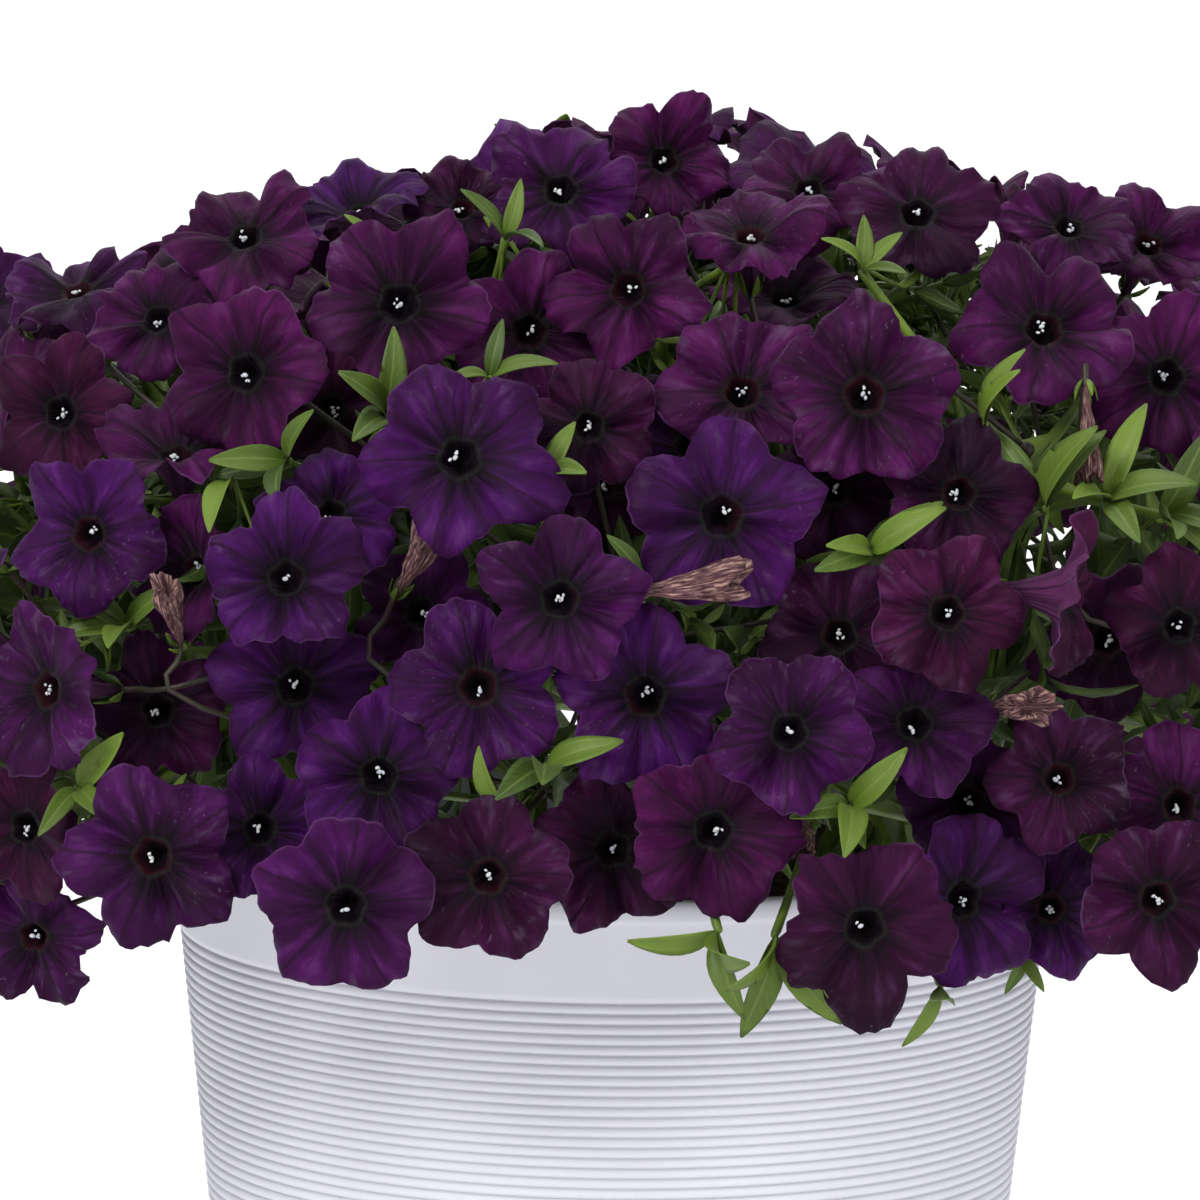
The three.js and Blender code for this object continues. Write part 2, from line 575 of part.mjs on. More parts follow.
// Adds a bloom from its tube's end over the limb into the throat.
function addBloom(skin, rings) {
  skin.bridge(rings.end, rings.neck);
  skin.bridge(rings.neck, rings.edge);
  skin.bridge(rings.edge, rings.throat);
  skin.close(rings.throat, rings.pit);
}

// The outline of a bloom alone, for tests of clearance.
function bloomOutline(bloom) {
  const skin = new Skin();
  const rings = bloomRings(bloom);
  addBloom(skin, rings);
  skin.close([...rings.end].reverse(), rings.endCentre);
  return outline(skin.geometry());
}

// A bloom from a row of sizes, with its own ruffles and turn.
function makeBloom(row, place, face) {
  const bloom = {
    wide: row.wide,
    radius: row.wide / 2,
    cup: row.cup ?? 0,
    wave: row.wave ?? 0,
    peak: row.peak ?? 1,
    shut: row.shut ?? 0,
    fine: row.px !== undefined && !row.shut,
    waves: Array.from({ length: 15 }, () => between(-1, 1)),
    tube: TUBE_SHARES[0],
  };
  if (bloom.shut) {
    bloom.cup = bloom.wide * 0.9;
    bloom.radius = bloom.wide * 0.32;
    bloom.wave = 2.5;
  }
  bloom.frame = bloomFrame(place, face, between(0, 2 * Math.PI));
  return bloom;
}

// The way a front bloom faces, from its turn to the right and its tip upward.
function faceOf(direction, yaw, tip) {
  const toEye = direction.clone().negate();
  return toEye.multiplyScalar(Math.cos(radians(yaw)) * Math.cos(radians(tip)))
    .addScaledVector(view.right, Math.sin(radians(yaw)) * Math.cos(radians(tip)))
    .addScaledVector(view.up, Math.sin(radians(tip)))
    .normalize();
}

// The height of the photograph's outline above a pixel column.
function crestAt(px) {
  const k = CREST.findIndex(([x], n) => n > 0 && x >= px);
  if (k < 0 || px < CREST[0][0]) return -PHOTO_SIDE;
  const [[x0, y0], [x1, y1]] = [CREST[k - 1], CREST[k]];
  return y0 + (y1 - y0) * (px - x0) / (x1 - x0);
}

// Whether a point stays under the photograph's outline by a margin in pixels.
function belowCrest(point, margin = 0) {
  const { px, py } = pixelOf(point);
  return py > crestAt(px) + margin;
}

// Whether a bloom's whole edge stays under the photograph's outline.
function underCrest(bloom) {
  return bloomRings(bloom).edge.every((point) => belowCrest(point));
}

// Slides a bloom along a line, a little further each time, until it fits and is clear of its neighbours.
function settle(bloom, blooms, line, offsets, fits = () => true) {
  const home = bloom.frame.place.clone();
  const placed = [potOutline, ...blooms.map((other) => other.outline)];
  return offsets.some((offset) => {
    bloom.frame.place.copy(home).addScaledVector(line, offset);
    if (!fits(bloom)) return false;
    bloom.outline = bloomOutline(bloom);
    return isClear(bloom.outline, placed, BLOOM_GAP);
  });
}

// A run of even steps.
const stepsFrom = (first, step, count) => Array.from({ length: count }, (_, k) => first + step * k);

// The blooms of the photograph, the foremost first, each on its own line of sight.
function placeFrontBlooms() {
  const blooms = [];
  const rows = [...FRONT_BLOOMS].sort((a, b) => (a.back ?? 0) - (b.back ?? 0));
  for (const row of rows) {
    const direction = rayThrough(row.px, row.py);
    const depth = sightOnMound(direction);
    const place = view.eye.clone().addScaledVector(direction, depth);
    const bloom = makeBloom(row, place, faceOf(direction, row.yaw, row.tip));
    if (settle(bloom, blooms, direction, stepsFrom(7 * (row.back ?? 0), 3, 24))) blooms.push(bloom);
  }
  return blooms;
}

// The rest of the mound, on a spiral of even spacing, each bloom turned near the mound's normal.
function placeFillBlooms(front) {
  const blooms = [...front];
  for (let k = 0; k < FILL_TRIES; k += 1) {
    const lift = 1 - 1.26 * (k + 0.5) / FILL_TRIES;
    const level = Math.sqrt(1 - lift ** 2);
    const turn = GOLDEN_TURN * k;
    const place = onMound(new THREE.Vector3(level * Math.cos(turn), level * Math.sin(turn), lift * 0.9));
    const row = { wide: between(52, 64), cup: between(-2, 5), wave: between(2, 5) };
    const sway = new THREE.Vector3(between(-1, 1), between(-1, 1), between(-0.6, 1));
    const normal = moundNormal(place);
    const near = blooms.some((other) => other.frame.place.distanceTo(place) < FILL_SPACING * 0.8);
    const overPot = Math.hypot(place.x, place.y) < POT_CLEAR.radius && place.z < POT_CLEAR.above;
    if (near || overPot || place.z < POT_CLEAR.below || inPhoto(place, normal, 30)) continue;
    const bloom = makeBloom(row, place, normal.clone().addScaledVector(sway, FILL_SWAY).normalize());
    const inward = normal.clone().negate();
    if (settle(bloom, blooms, inward, stepsFrom(between(-4, 4), 4, 16), underCrest)) blooms.push(bloom);
  }
  return blooms;
}

const blooms = placeFillBlooms(placeFrontBlooms());
for (const bloom of blooms) bloom.rings = bloomRings(bloom);
const allBlooms = blooms.map((bloom) => bloom.outline);

// The outline of a straight rod, for tests of clearance.
function rodOutline(from, to, radius) {
  const axis = to.clone().sub(from).normalize();
  const frame = bloomFrame(from, axis, 0);
  const length = from.distanceTo(to);
  const skin = new Skin();
  const low = ringIn(frame, 3, 0, radius, 0);
  const high = ringIn(frame, 3, 0, radius, length);
  skin.bridge(low, high);
  skin.close(high, to);
  skin.close([...low].reverse(), from);
  return outline(skin.geometry());
}

// Groups the tube ends into sprays, from well spread first guesses.
function sprayCentres() {
  const ends = blooms.map((bloom) => bloom.rings.endCentre);
  const centres = [ends[0].clone()];
  while (centres.length < SPRAY_COUNT) {
    const far = ends.map((end) => Math.min(...centres.map((centre) => centre.distanceTo(end))));
    centres.push(ends[far.indexOf(Math.max(...far))].clone());
  }
  for (let round = 0; round < 8; round += 1) {
    const groups = centres.map(() => []);
    for (const end of ends) {
      const away = centres.map((centre) => centre.distanceTo(end));
      groups[away.indexOf(Math.min(...away))].push(end);
    }
    groups.forEach((group, k) => {
      if (group.length === 0) return;
      centres[k].set(0, 0, 0);
      for (const end of group) centres[k].addScaledVector(end, 1 / group.length);
    });
  }
  return centres;
}

// The faces of a small knob as triples of corners that point outward.
function knobFaces(place) {
  const shape = new THREE.IcosahedronGeometry(KNOB_RADIUS, 0).attributes.position;
  return Array.from({ length: shape.count / 3 }, (_, k) => [0, 1, 2].map((corner) => {
    const point = new THREE.Vector3().fromBufferAttribute(shape, 3 * k + corner);
    return point.multiplyScalar(1e4).round().divideScalar(1e4).add(place);
  }));
}

// The fork of each spray, set far enough in to be clear of the blooms.
function makeForks() {
  return sprayCentres().map((centre) => {
    const core = new THREE.Vector3(centre.x * 0.3, centre.y * 0.3, 300);
    const inward = core.sub(centre).normalize();
    const place = centre.clone().addScaledVector(inward, FORK_DEPTH);
    const around = () => rodOutline(place, place.clone().add(UP), KNOB_RADIUS + ROD_GAP);
    for (let k = 0; k < 12 && !isClear(around(), allBlooms, 1.5); k += 1) place.addScaledVector(inward, 4);
    const fork = { place, knob: around(), faces: knobFaces(place), used: new Set() };
    return { ...fork, blooms: [], whole: [], free: [] };
  });
}

const forks = makeForks();

// The free face of a knob that looks most nearly toward a point.
function facing(fork, target) {
  const toward = target.clone().sub(fork.place).normalize();
  let best = -1;
  let most = 0.55;
  fork.faces.forEach((corners, k) => {
    const middle = corners[0].clone().add(corners[1]).add(corners[2]).divideScalar(3);
    const along = middle.sub(fork.place).normalize().dot(toward);
    if (!fork.used.has(k) && along > most) {
      most = along;
      best = k;
    }
  });
  return best;
}

// A ring of three turned so that a rod to it from another ring is twisted least.
function leastTwist(low, high) {
  const stretch = (turn) => low.reduce((sum, point, k) => sum + point.distanceTo(high[(k + turn) % 3]), 0);
  const turns = [0, 1, 2].sort((a, b) => stretch(a) - stretch(b));
  return [0, 1, 2].map((k) => high[(k + turns[0]) % 3]);
}

// The open sides of a three sided rod between two rings.
function rodSkin(low, high) {
  const skin = new Skin();
  const matched = leastTwist(low, high);
  for (let k = 0; k < 3; k += 1) {
    const next = (k + 1) % 3;
    skin.face(low[k], low[next], matched[next]);
    skin.face(low[k], matched[next], matched[k]);
  }
  return skin;
}

// Ways from a tube's end to a fork: straight, then through an elbow behind the tube.
function elbows(bloom) {
  const ways = [null];
  const end = bloom.rings.endCentre;
  for (const behind of [7, 14, 22, 32]) {
    for (const aside of [0, 10, 20, 30, 38]) {
      for (let k = 0; k < (aside ? 8 : 1); k += 1) {
        const turn = Math.PI * k / 4;
        ways.push(end.clone().addScaledVector(bloom.frame.face, -behind)
          .addScaledVector(bloom.frame.x, aside * Math.cos(turn))
          .addScaledVector(bloom.frame.y, aside * Math.sin(turn)));
      }
    }
  }
  return ways;
}

// The rods that a peduncle takes up, or null where it would touch something. whole runs from the
// fork, and free leaves out the stretch beside the fork, where its neighbours start too.
function clearWay(bloom, fork, elbow, others) {
  const end = bloom.rings.endCentre;
  const next = elbow ?? end;
  const along = bloom.frame.face;
  if (elbow && along.dot(end.clone().sub(elbow).normalize()) < 0.12) return null;
  if (!elbow && along.dot(end.clone().sub(fork.place).normalize()) < -0.1) return null;
  const start = fork.place.clone().lerp(next, Math.min(0.4, 9 / fork.place.distanceTo(next)));
  const runs = (from) => (elbow
    ? [rodOutline(from, elbow, PEDUNCLE_REACH), rodOutline(elbow, end, PEDUNCLE_REACH)]
    : [rodOutline(from, end, PEDUNCLE_REACH)]);
  const way = { whole: runs(fork.place), free: runs(start) };
  const away = forks.filter((other) => other !== fork).flatMap((other) => [other.knob, ...other.whole]);
  const clear = way.whole.every((run) => isClear(run, others, BLOOM_GAP) && isClear(run, away, ROD_GAP))
    && way.free.every((run) => isClear(run, fork.free, ROD_GAP / 2));
  return clear ? way : null;
}

// The first way to a near fork that touches nothing.
function findWay(bloom) {
  const end = bloom.rings.endCentre;
  const others = [potOutline, ...allBlooms.filter((other) => other !== bloom.outline)];
  const near = [...forks].sort((a, b) => a.place.distanceTo(end) - b.place.distanceTo(end)).slice(0, 9);
  for (const elbow of elbows(bloom)) {
    for (const fork of near) {
      const face = facing(fork, elbow ?? end);
      if (face < 0) continue;
      const way = clearWay(bloom, fork, elbow, others);
      if (way) return { fork, face, elbow, way };
    }
  }
  return null;
}

// Ties each bloom to a fork, with a shorter tube where a full one leaves no way past its neighbours.
function tieBlooms() {
  for (const bloom of blooms) {
    let found = null;
    for (const share of TUBE_SHARES) {
      bloom.tube = share;
      bloom.rings = bloomRings(bloom);
      found = findWay(bloom);
      if (found) break;
    }
    if (!found) continue;
    found.fork.used.add(found.face);
    found.fork.blooms.push({ bloom, face: found.face, elbow: found.elbow });
    found.fork.whole.push(...found.way.whole);
    found.fork.free.push(...found.way.free);
  }
}

tieBlooms();
const sprays = forks.filter((fork) => fork.blooms.length > 0);

// The three points of a peduncle's elbow, square to its two straight runs.
function elbowRing(elbow, from, to) {
  const axis = to.clone().sub(elbow).normalize().add(elbow.clone().sub(from).normalize()).normalize();
  return ringIn(bloomFrame(elbow, axis, 0), 3, 0, TUBE_END_RADIUS, 0);
}

// The skins of a spray: its blooms, their peduncles and the faces of the knob that are left.
function spraySkins(fork) {
  const skins = [];
  for (const { bloom, face, elbow } of fork.blooms) {
    const rings = bloom.rings;
    if (elbow) {
      const middle = leastTwist(fork.faces[face], elbowRing(elbow, fork.place, rings.endCentre));
      skins.push(rodSkin(fork.faces[face], middle), rodSkin(middle, rings.end));
    } else {
      skins.push(rodSkin(fork.faces[face], rings.end));
    }
    const flower = new Skin();
    addBloom(flower, rings);
    skins.push(flower);
  }
  const knob = new Skin();
  fork.faces.forEach((corners, k) => {
    if (!fork.used.has(k)) knob.face(...corners);
  });
  return [...skins, knob];
}

// Skins that close one another as one mesh.
function joinSkins(skins) {
  const whole = new Skin();
  for (const skin of skins) whole.points.push(...skin.points);
  return whole.geometry();
}

for (const fork of sprays) fork.skins = spraySkins(fork);

// A rod of a few flat sides along points, from three.js's extrusion.
function rod(points, radius, sides, steps) {
  const section = new THREE.Shape(Array.from({ length: sides }, (_, k) => {
    const angle = 2 * Math.PI * k / sides;
    return new THREE.Vector2(radius * Math.cos(angle), radius * Math.sin(angle));
  }));
  const path = points.length === 2 ? new THREE.LineCurve3(...points) : new THREE.CatmullRomCurve3(points);
  return new THREE.ExtrudeGeometry(section, { steps, bevelEnabled: false, extrudePath: path });
}

// The outlines of everything placed so far, each with the node that it belongs to.
const solids = [
  { owner: "pot", shape: potOutline },
  ...sprays.flatMap((fork) => fork.skins.map((skin) => ({ owner: fork, shape: outline(skin.geometry()) }))),
];

const freeOf = (shape, gap, skip = null) => solids.every(
  (other) => other.owner === skip || !meet(shape, other.shape, gap));

// Adds a piece of a stem and the places where shoots may leave it.
function addPiece(stem, geometry, joints) {
  const shape = outline(geometry);
  stem.pieces.push(geometry);
  solids.push({ owner: stem.name, shape });
  stem.joints.push(...joints);
}

// The trunk of each stem, from the soil to the hub where its branches part.
function growTrunks() {
  for (const stem of stems) {
    const bend = stem.collar.clone().lerp(stem.hub, 0.45).add(new THREE.Vector3(0, 0, 9));
    const points = [stem.foot, stem.collar, bend, stem.hub];
    addPiece(stem, rod(points, TRUNK_RADIUS, 5, 3), [stem.hub]);
  }
}

// A branch from a stem's hub to a fork, bent aside by a sway, with its joints along it.
function planBranch(stem, fork, sway, turn) {
  const across = bloomFrame(stem.hub, fork.place.clone().sub(stem.hub).normalize(), turn);
  const middle = stem.hub.clone().lerp(fork.place, 0.5).addScaledVector(across.x, sway);
  const back = (sway ? middle : stem.hub).clone().sub(fork.place).normalize();
  const end = fork.place.clone().addScaledVector(back, BRANCH_END);
  const points = sway ? [stem.hub, middle, end] : [stem.hub, end];
  const along = (share) => {
    if (!sway) return stem.hub.clone().lerp(end, share);
    return share < 0.5 ? stem.hub.clone().lerp(middle, 2 * share) : middle.clone().lerp(end, 2 * share - 1);
  };
  const geometry = rod(points, BRANCH_RADIUS, 3, points.length - 1);
  return { geometry, shape: outline(geometry), joints: [0.35, 0.6, 0.75, 0.9].map(along) };
}

// The first branch to a fork from a near stem that touches nothing.
function findBranch(fork) {
  const near = [...stems].sort((a, b) => a.hub.distanceTo(fork.place) - b.hub.distanceTo(fork.place));
  const gapTo = (other) => (other.owner === fork ? GAP : LEAF_GAP);
  for (const sway of BRANCH_SWAYS) {
    for (const stem of near.slice(0, 4)) {
      for (let k = 0; k < (sway ? 8 : 1); k += 1) {
        const branch = planBranch(stem, fork, sway, Math.PI * k / 4);
        const others = solids.filter((other) => other.owner !== stem.name);
        if (!others.some((other) => meet(branch.shape, other.shape, gapTo(other)))) return { stem, branch };
      }
    }
  }
  return null;
}

function growBranches() {
  for (const fork of sprays) {
    const found = findBranch(fork);
    if (found) addPiece(found.stem, found.branch.geometry, found.branch.joints);
  }
}

// The sections of a narrow arched blade as distance, half width and lift, each a share of its length.
function leafSections(length) {
  return length < SMALL_LEAF ? [[0.52, 0.5, 0.09]] : [[0.34, 0.42, 0.09], [0.72, 0.46, 0.07]];
}

// The rings and tip of a leaf that starts at a place and runs along a direction.
function leafPlan(place, along, normal, length) {
  const side = new THREE.Vector3().crossVectors(normal, along).normalize();
  const top = new THREE.Vector3().crossVectors(along, side).normalize();
  const at = (x, y, z) => place.clone().addScaledVector(along, x * length)
    .addScaledVector(side, y * LEAF_WIDTH * length).addScaledVector(top, z);
  const sections = leafSections(length).map(([x, y, lift]) => {
    const rise = lift * length;
    const low = at(x, 0, rise - LEAF_THICK);
    const high = at(x, 0, rise + LEAF_THICK);
    return [at(x, -y, rise + LEAF_ARCH), low, at(x, y, rise + LEAF_ARCH), high];
  });
  return { sections, tip: at(1, 0, -0.06 * length) };
}

// Adds a leaf to a skin from the ring that it grows on.
function addLeaf(skin, ring, plan) {
  const first = plan.sections[0];
  const opposite = (k, turn) => first[(turn + Math.round(k * first.length / ring.length)) % first.length];
  const reach = (turn) => ring.reduce((sum, point, k) => sum + point.distanceTo(opposite(k, turn)), 0);
  const turn = [0, 1, 2, 3].sort((a, b) => reach(a) - reach(b))[0];
  const rings = plan.sections.map((section) => section.map((_, k) => section[(k + turn) % 4]));
  skin.bridge(ring, rings[0]);
  for (let k = 1; k < rings.length; k += 1) skin.bridge(rings[k - 1], rings[k]);
  skin.close(rings.at(-1), plan.tip);
}

// The outer part of a leaf, past the ring that it grows on.
function bladeOf(shape) {
  const facets = shape.facets.slice(ROOT_FACETS);
  const whole = new THREE.Box3();
  for (const facet of facets) whole.union(facet.box);
  return { facets, whole };
}

// The eight faces of the bud on a twig's tip.
function budFaces(place, axis, turn) {
  const frame = bloomFrame(place, axis, turn);
  const around = ringIn(frame, 4, 0, BUD_RADIUS, 0);
  const ends = [inFrame(frame, 0, 0, BUD_RADIUS), inFrame(frame, 0, 0, -BUD_RADIUS)];
  return around.flatMap((corner, k) => {
    const next = around[(k + 1) % 4];
    return [[corner, next, ends[0]], [next, corner, ends[1]]];
  });
}

// One leaf that leans out from a bud, or null where it would touch something.
function tryLeaf(bud, leaves, turn, lean, length) {
  const { face: axis, x, y } = bud.frame;
  const outward = x.clone().multiplyScalar(Math.cos(turn)).addScaledVector(y, Math.sin(turn));
  const along = axis.clone().multiplyScalar(Math.cos(lean)).addScaledVector(outward, Math.sin(lean));
  const normal = axis.clone().multiplyScalar(Math.sin(lean)).addScaledVector(outward, -Math.cos(lean));
  const plan = leafPlan(bud.place, along, normal, length);
  const face = facing(bud, plan.sections[0][1]);
  if (face < 0) return null;
  const skin = new Skin();
  addLeaf(skin, bud.faces[face], plan);
  const shape = outline(skin.geometry());
  const outer = bladeOf(shape);
  const crossed = leaves.some((other) => meet(outer, other.outer, GAP) || meet(outer, other.shape, 0));
  if (crossed || meet(shape, bud.twig, GAP) || !freeOf(shape, LEAF_GAP)) return null;
  return { skin, face, shape, outer };
}

// The free leaves round a twig's tip, each turned on until it is clear.
function planLeaves(bud, row) {
  const leaves = [];
  for (let k = 0; k < row.count; k += 1) {
    for (let attempt = 0; attempt < LEAF_TRIES; attempt += 1) {
      const lean = radians(row.open + between(-14, 14));
      const length = row.long * between(0.8, 1.1) * (attempt > 6 ? 0.75 : 1);
      const leaf = tryLeaf(bud, leaves, GOLDEN_TURN * k + LEAF_TRY_TURN * attempt, lean, length);
      if (!leaf) continue;
      bud.used.add(leaf.face);
      leaves.push(leaf);
      break;
    }
  }
  return leaves;
}

// A twig from a joint of its stem to a bud, and the leaves round that bud. False where none fits.
function makeShoot(stem, joint, place, axis, row) {
  const turn = between(0, Math.PI);
  const back = joint.clone().sub(place).normalize();
  const faces = budFaces(place, axis, turn);
  const bud = { place, frame: bloomFrame(place, axis, turn), faces, used: new Set() };
  const foot = facing(bud, joint);
  bud.used.add(foot);
  const ring = leastTwist(faces[foot], ringIn(bloomFrame(joint, back, 0), 3, 0, TWIG_RADIUS, 0));
  const twig = rodSkin(faces[foot], ring);
  const ends = [-BUD_RADIUS, BUD_RADIUS].map((away) => place.clone().addScaledVector(axis, away));
  if (!freeOf(outline(twig.geometry()), LEAF_GAP, stem.name)) return false;
  if (!freeOf(rodOutline(...ends, BUD_RADIUS * 1.5), GAP)) return false;
  bud.twig = rodOutline(place.clone().addScaledVector(back, 2 * BUD_RADIUS), joint, TWIG_RADIUS);
  const leaves = planLeaves(bud, row);
  if (leaves.length === 0) return false;
  const rest = new Skin();
  rest.face(...ring);
  faces.forEach((corners, k) => {
    if (!bud.used.has(k)) rest.face(...corners);
  });
  stem.pieces.push(joinSkins([twig, rest, ...leaves.map((leaf) => leaf.skin)]));
  solids.push({ owner: stem.name, shape: bud.twig });
  for (const leaf of leaves) solids.push({ owner: "leaf", shape: leaf.shape });
  return true;
}

// Grows a shoot from the nearest joint of the stems that its twig reaches without touching anything.
function growShoot(place, axis, row) {
  const joints = stems.flatMap((stem) => stem.joints.map((joint) => ({ stem, joint })));
  joints.sort((a, b) => a.joint.distanceTo(place) - b.joint.distanceTo(place));
  return joints.slice(0, 16).some(({ stem, joint }) => (
    freeOf(rodOutline(place, joint, TWIG_RADIUS + 0.3), ROD_GAP / 2, stem.name)
    && makeShoot(stem, joint, place, axis, row)));
}

function growFrontShoots() {
  for (const row of FRONT_SHOOTS) {
    const direction = rayThrough(row.px, row.py);
    const depth = sightOnMound(direction) + row.depth;
    const axis = direction.clone().multiplyScalar(-0.75)
      .addScaledVector(view.right, row.right).addScaledVector(view.up, row.up).normalize();
    stepsFrom(depth, 6, 6).some((away) => {
      const place = view.eye.clone().addScaledVector(direction, away);
      return growShoot(place, axis, { ...row, open: 50 });
    });
  }
}

// Shoots over the rest of the mound, where the blooms leave room.
function growSideShoots() {
  let grown = 0;
  for (let k = 0; k < SHOOT_TRIES && grown < SIDE_SHOOTS; k += 1) {
    const turn = between(0, 2 * Math.PI);
    const lift = between(-0.35, 0.98);
    const level = Math.sqrt(1 - lift * lift);
    const ray = new THREE.Vector3(level * Math.cos(turn), level * Math.sin(turn), lift);
    const place = onMound(ray).addScaledVector(ray, -between(4, 18));
    const normal = moundNormal(place);
    const tip = rodOutline(place, place.clone().addScaledVector(normal, 6), 4);
    if (inPhoto(place, normal, 80) || !belowCrest(place, LEAF_UNDER_CREST)) continue;
    if (place.z < POT_CLEAR.below || !freeOf(tip, 1.5)) continue;
    if (growShoot(place, normal, { count: 3, long: between(24, 34), open: 55 })) grown += 1;
  }
}

growTrunks();
growBranches();
growFrontShoots();
growSideShoots();

// A stem's pieces as one solid.
function makeStem(stem) {
  let body = solid(stem.pieces[0]);
  for (const piece of stem.pieces.slice(1)) body = body.add(solid(piece));
  return geometryOf(body);
}

const plant = new THREE.Group();

// Adds a named mesh with a material of its own.
function addMesh(name, geometry, colour, roughness) {
  const material = new THREE.MeshStandardMaterial({ color: colour, roughness, metalness: 0 });
  const mesh = new THREE.Mesh(geometry, material);
  mesh.name = name;
  plant.add(mesh);
}

addMesh("pot", pot, 0xd9d8e4, 0.5);
addMesh("soil", makeSoil(), 0x2a1f18, 0.95);
for (const stem of stems) addMesh(stem.name, makeStem(stem), 0x5f8a35, 0.6);
sprays.forEach((fork, index) => {
  addMesh(`spray_${String(index + 1).padStart(2, "0")}`, joinSkins(fork.skins), 0x42145c, 0.6);
});

export default plant;
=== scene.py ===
"""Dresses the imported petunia: its ribbed pot, soil, stems, leaves and blooms, and a plain studio."""

import logging
import math
import random
from dataclasses import dataclass, field
from enum import Enum
from typing import Callable, Iterator, Sequence, TypeVar

import bmesh
import bpy
from mathutils import Matrix, Vector
from mathutils.bvhtree import BVHTree
from mathutils.kdtree import KDTree


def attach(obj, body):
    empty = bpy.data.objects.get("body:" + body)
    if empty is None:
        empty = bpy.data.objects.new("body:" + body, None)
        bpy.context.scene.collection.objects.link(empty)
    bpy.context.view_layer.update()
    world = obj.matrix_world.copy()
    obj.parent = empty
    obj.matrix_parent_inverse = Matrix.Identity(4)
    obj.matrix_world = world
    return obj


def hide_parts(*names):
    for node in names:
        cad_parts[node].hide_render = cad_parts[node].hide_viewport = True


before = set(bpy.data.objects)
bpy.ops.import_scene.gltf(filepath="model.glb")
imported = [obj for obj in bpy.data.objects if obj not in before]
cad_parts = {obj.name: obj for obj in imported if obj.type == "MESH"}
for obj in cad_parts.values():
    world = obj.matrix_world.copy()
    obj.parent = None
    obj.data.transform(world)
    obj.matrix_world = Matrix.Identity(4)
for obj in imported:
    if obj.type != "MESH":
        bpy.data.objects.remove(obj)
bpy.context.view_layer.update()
LOG = logging.getLogger("petunia")
MM = 0.001
UP = Vector((0.0, 0.0, 1.0))
LOBES = 5
LOBE_TURN = 2 * math.pi / LOBES
FINE_CORNERS = 15
FINE_STEPS = 84
PLAIN_STEPS = 40
WELD = 0.02 * MM

Colour = tuple[float, float, float]
Stops = Sequence[tuple[float, Colour]]
Inputs = dict[str | int, object]
Mesh = bmesh.types.BMesh
Corner = bmesh.types.BMVert
Socket = bpy.types.NodeSocket
Profile = tuple[tuple[float, float], ...]
Ring = Callable[[float], tuple[float, float, float]]
Value = TypeVar("Value", float, Vector)


class Tone(Enum):
    """The petal colours that the blooms of one plant run through; the darker tones, the near-black one most,
    are partly painted shade for blooms that lie in shade.
    """

    VIOLET = 0
    PURPLE = 1
    PLUM = 2
    WINE = 3
    INK = 4


# The hue of each tone, from violet at 0 over plum at 1 to wine at 2, and its darkness, which is partly the
# petals' own colour and partly painted shade.
TONE_MARKS: dict[Tone, tuple[float, float]] = {
    Tone.VIOLET: (0.08, 0.05), Tone.PURPLE: (0.45, 0.22), Tone.PLUM: (0.95, 0.08), Tone.WINE: (1.7, 0.35),
    Tone.INK: (1.2, 0.7),
}

# How often each tone comes among the blooms that the photograph doesn't show, in the order of Tone.
HIDDEN_SHARES = (3, 4, 4, 2, 2)

# The throat of each front bloom, as a pixel of the 1200 by 1200 photograph, under its petals' tone.
# Blooms that lie in shade get darker tones here, so their darkness is partly painted shade.
BLOOM_TONES: dict[Tone, list[tuple[int, int]]] = {
    Tone.VIOLET: [
        (722, 515), (458, 455), (478, 686), (645, 697), (285, 575), (293, 683), (378, 775),
        (968, 900), (85, 533), (258, 828), (690, 442), (355, 205),
    ],
    Tone.PURPLE: [
        (560, 598), (790, 732), (345, 908), (150, 858), (915, 722), (40, 690), (30, 940),
        (560, 186), (75, 283), (420, 612), (970, 800),
    ],
    Tone.PLUM: [
        (398, 300), (865, 393), (242, 372), (742, 388), (625, 288), (155, 315), (243, 231),
        (665, 158), (808, 186), (750, 228), (785, 292), (1045, 325), (1183, 805), (1170, 375),
        (1070, 222), (1150, 240), (714, 832), (190, 570), (175, 448), (530, 330),
    ],
    Tone.WINE: [
        (948, 612), (57, 411), (20, 828), (1015, 218), (1076, 596), (330, 408), (1182, 625),
    ],
    Tone.INK: [
        (1160, 900), (488, 878), (612, 850), (155, 710), (918, 208), (835, 490), (1108, 640),
        (866, 930), (462, 205), (604, 486), (588, 425), (840, 634), (1060, 778), (960, 492),
    ],
}


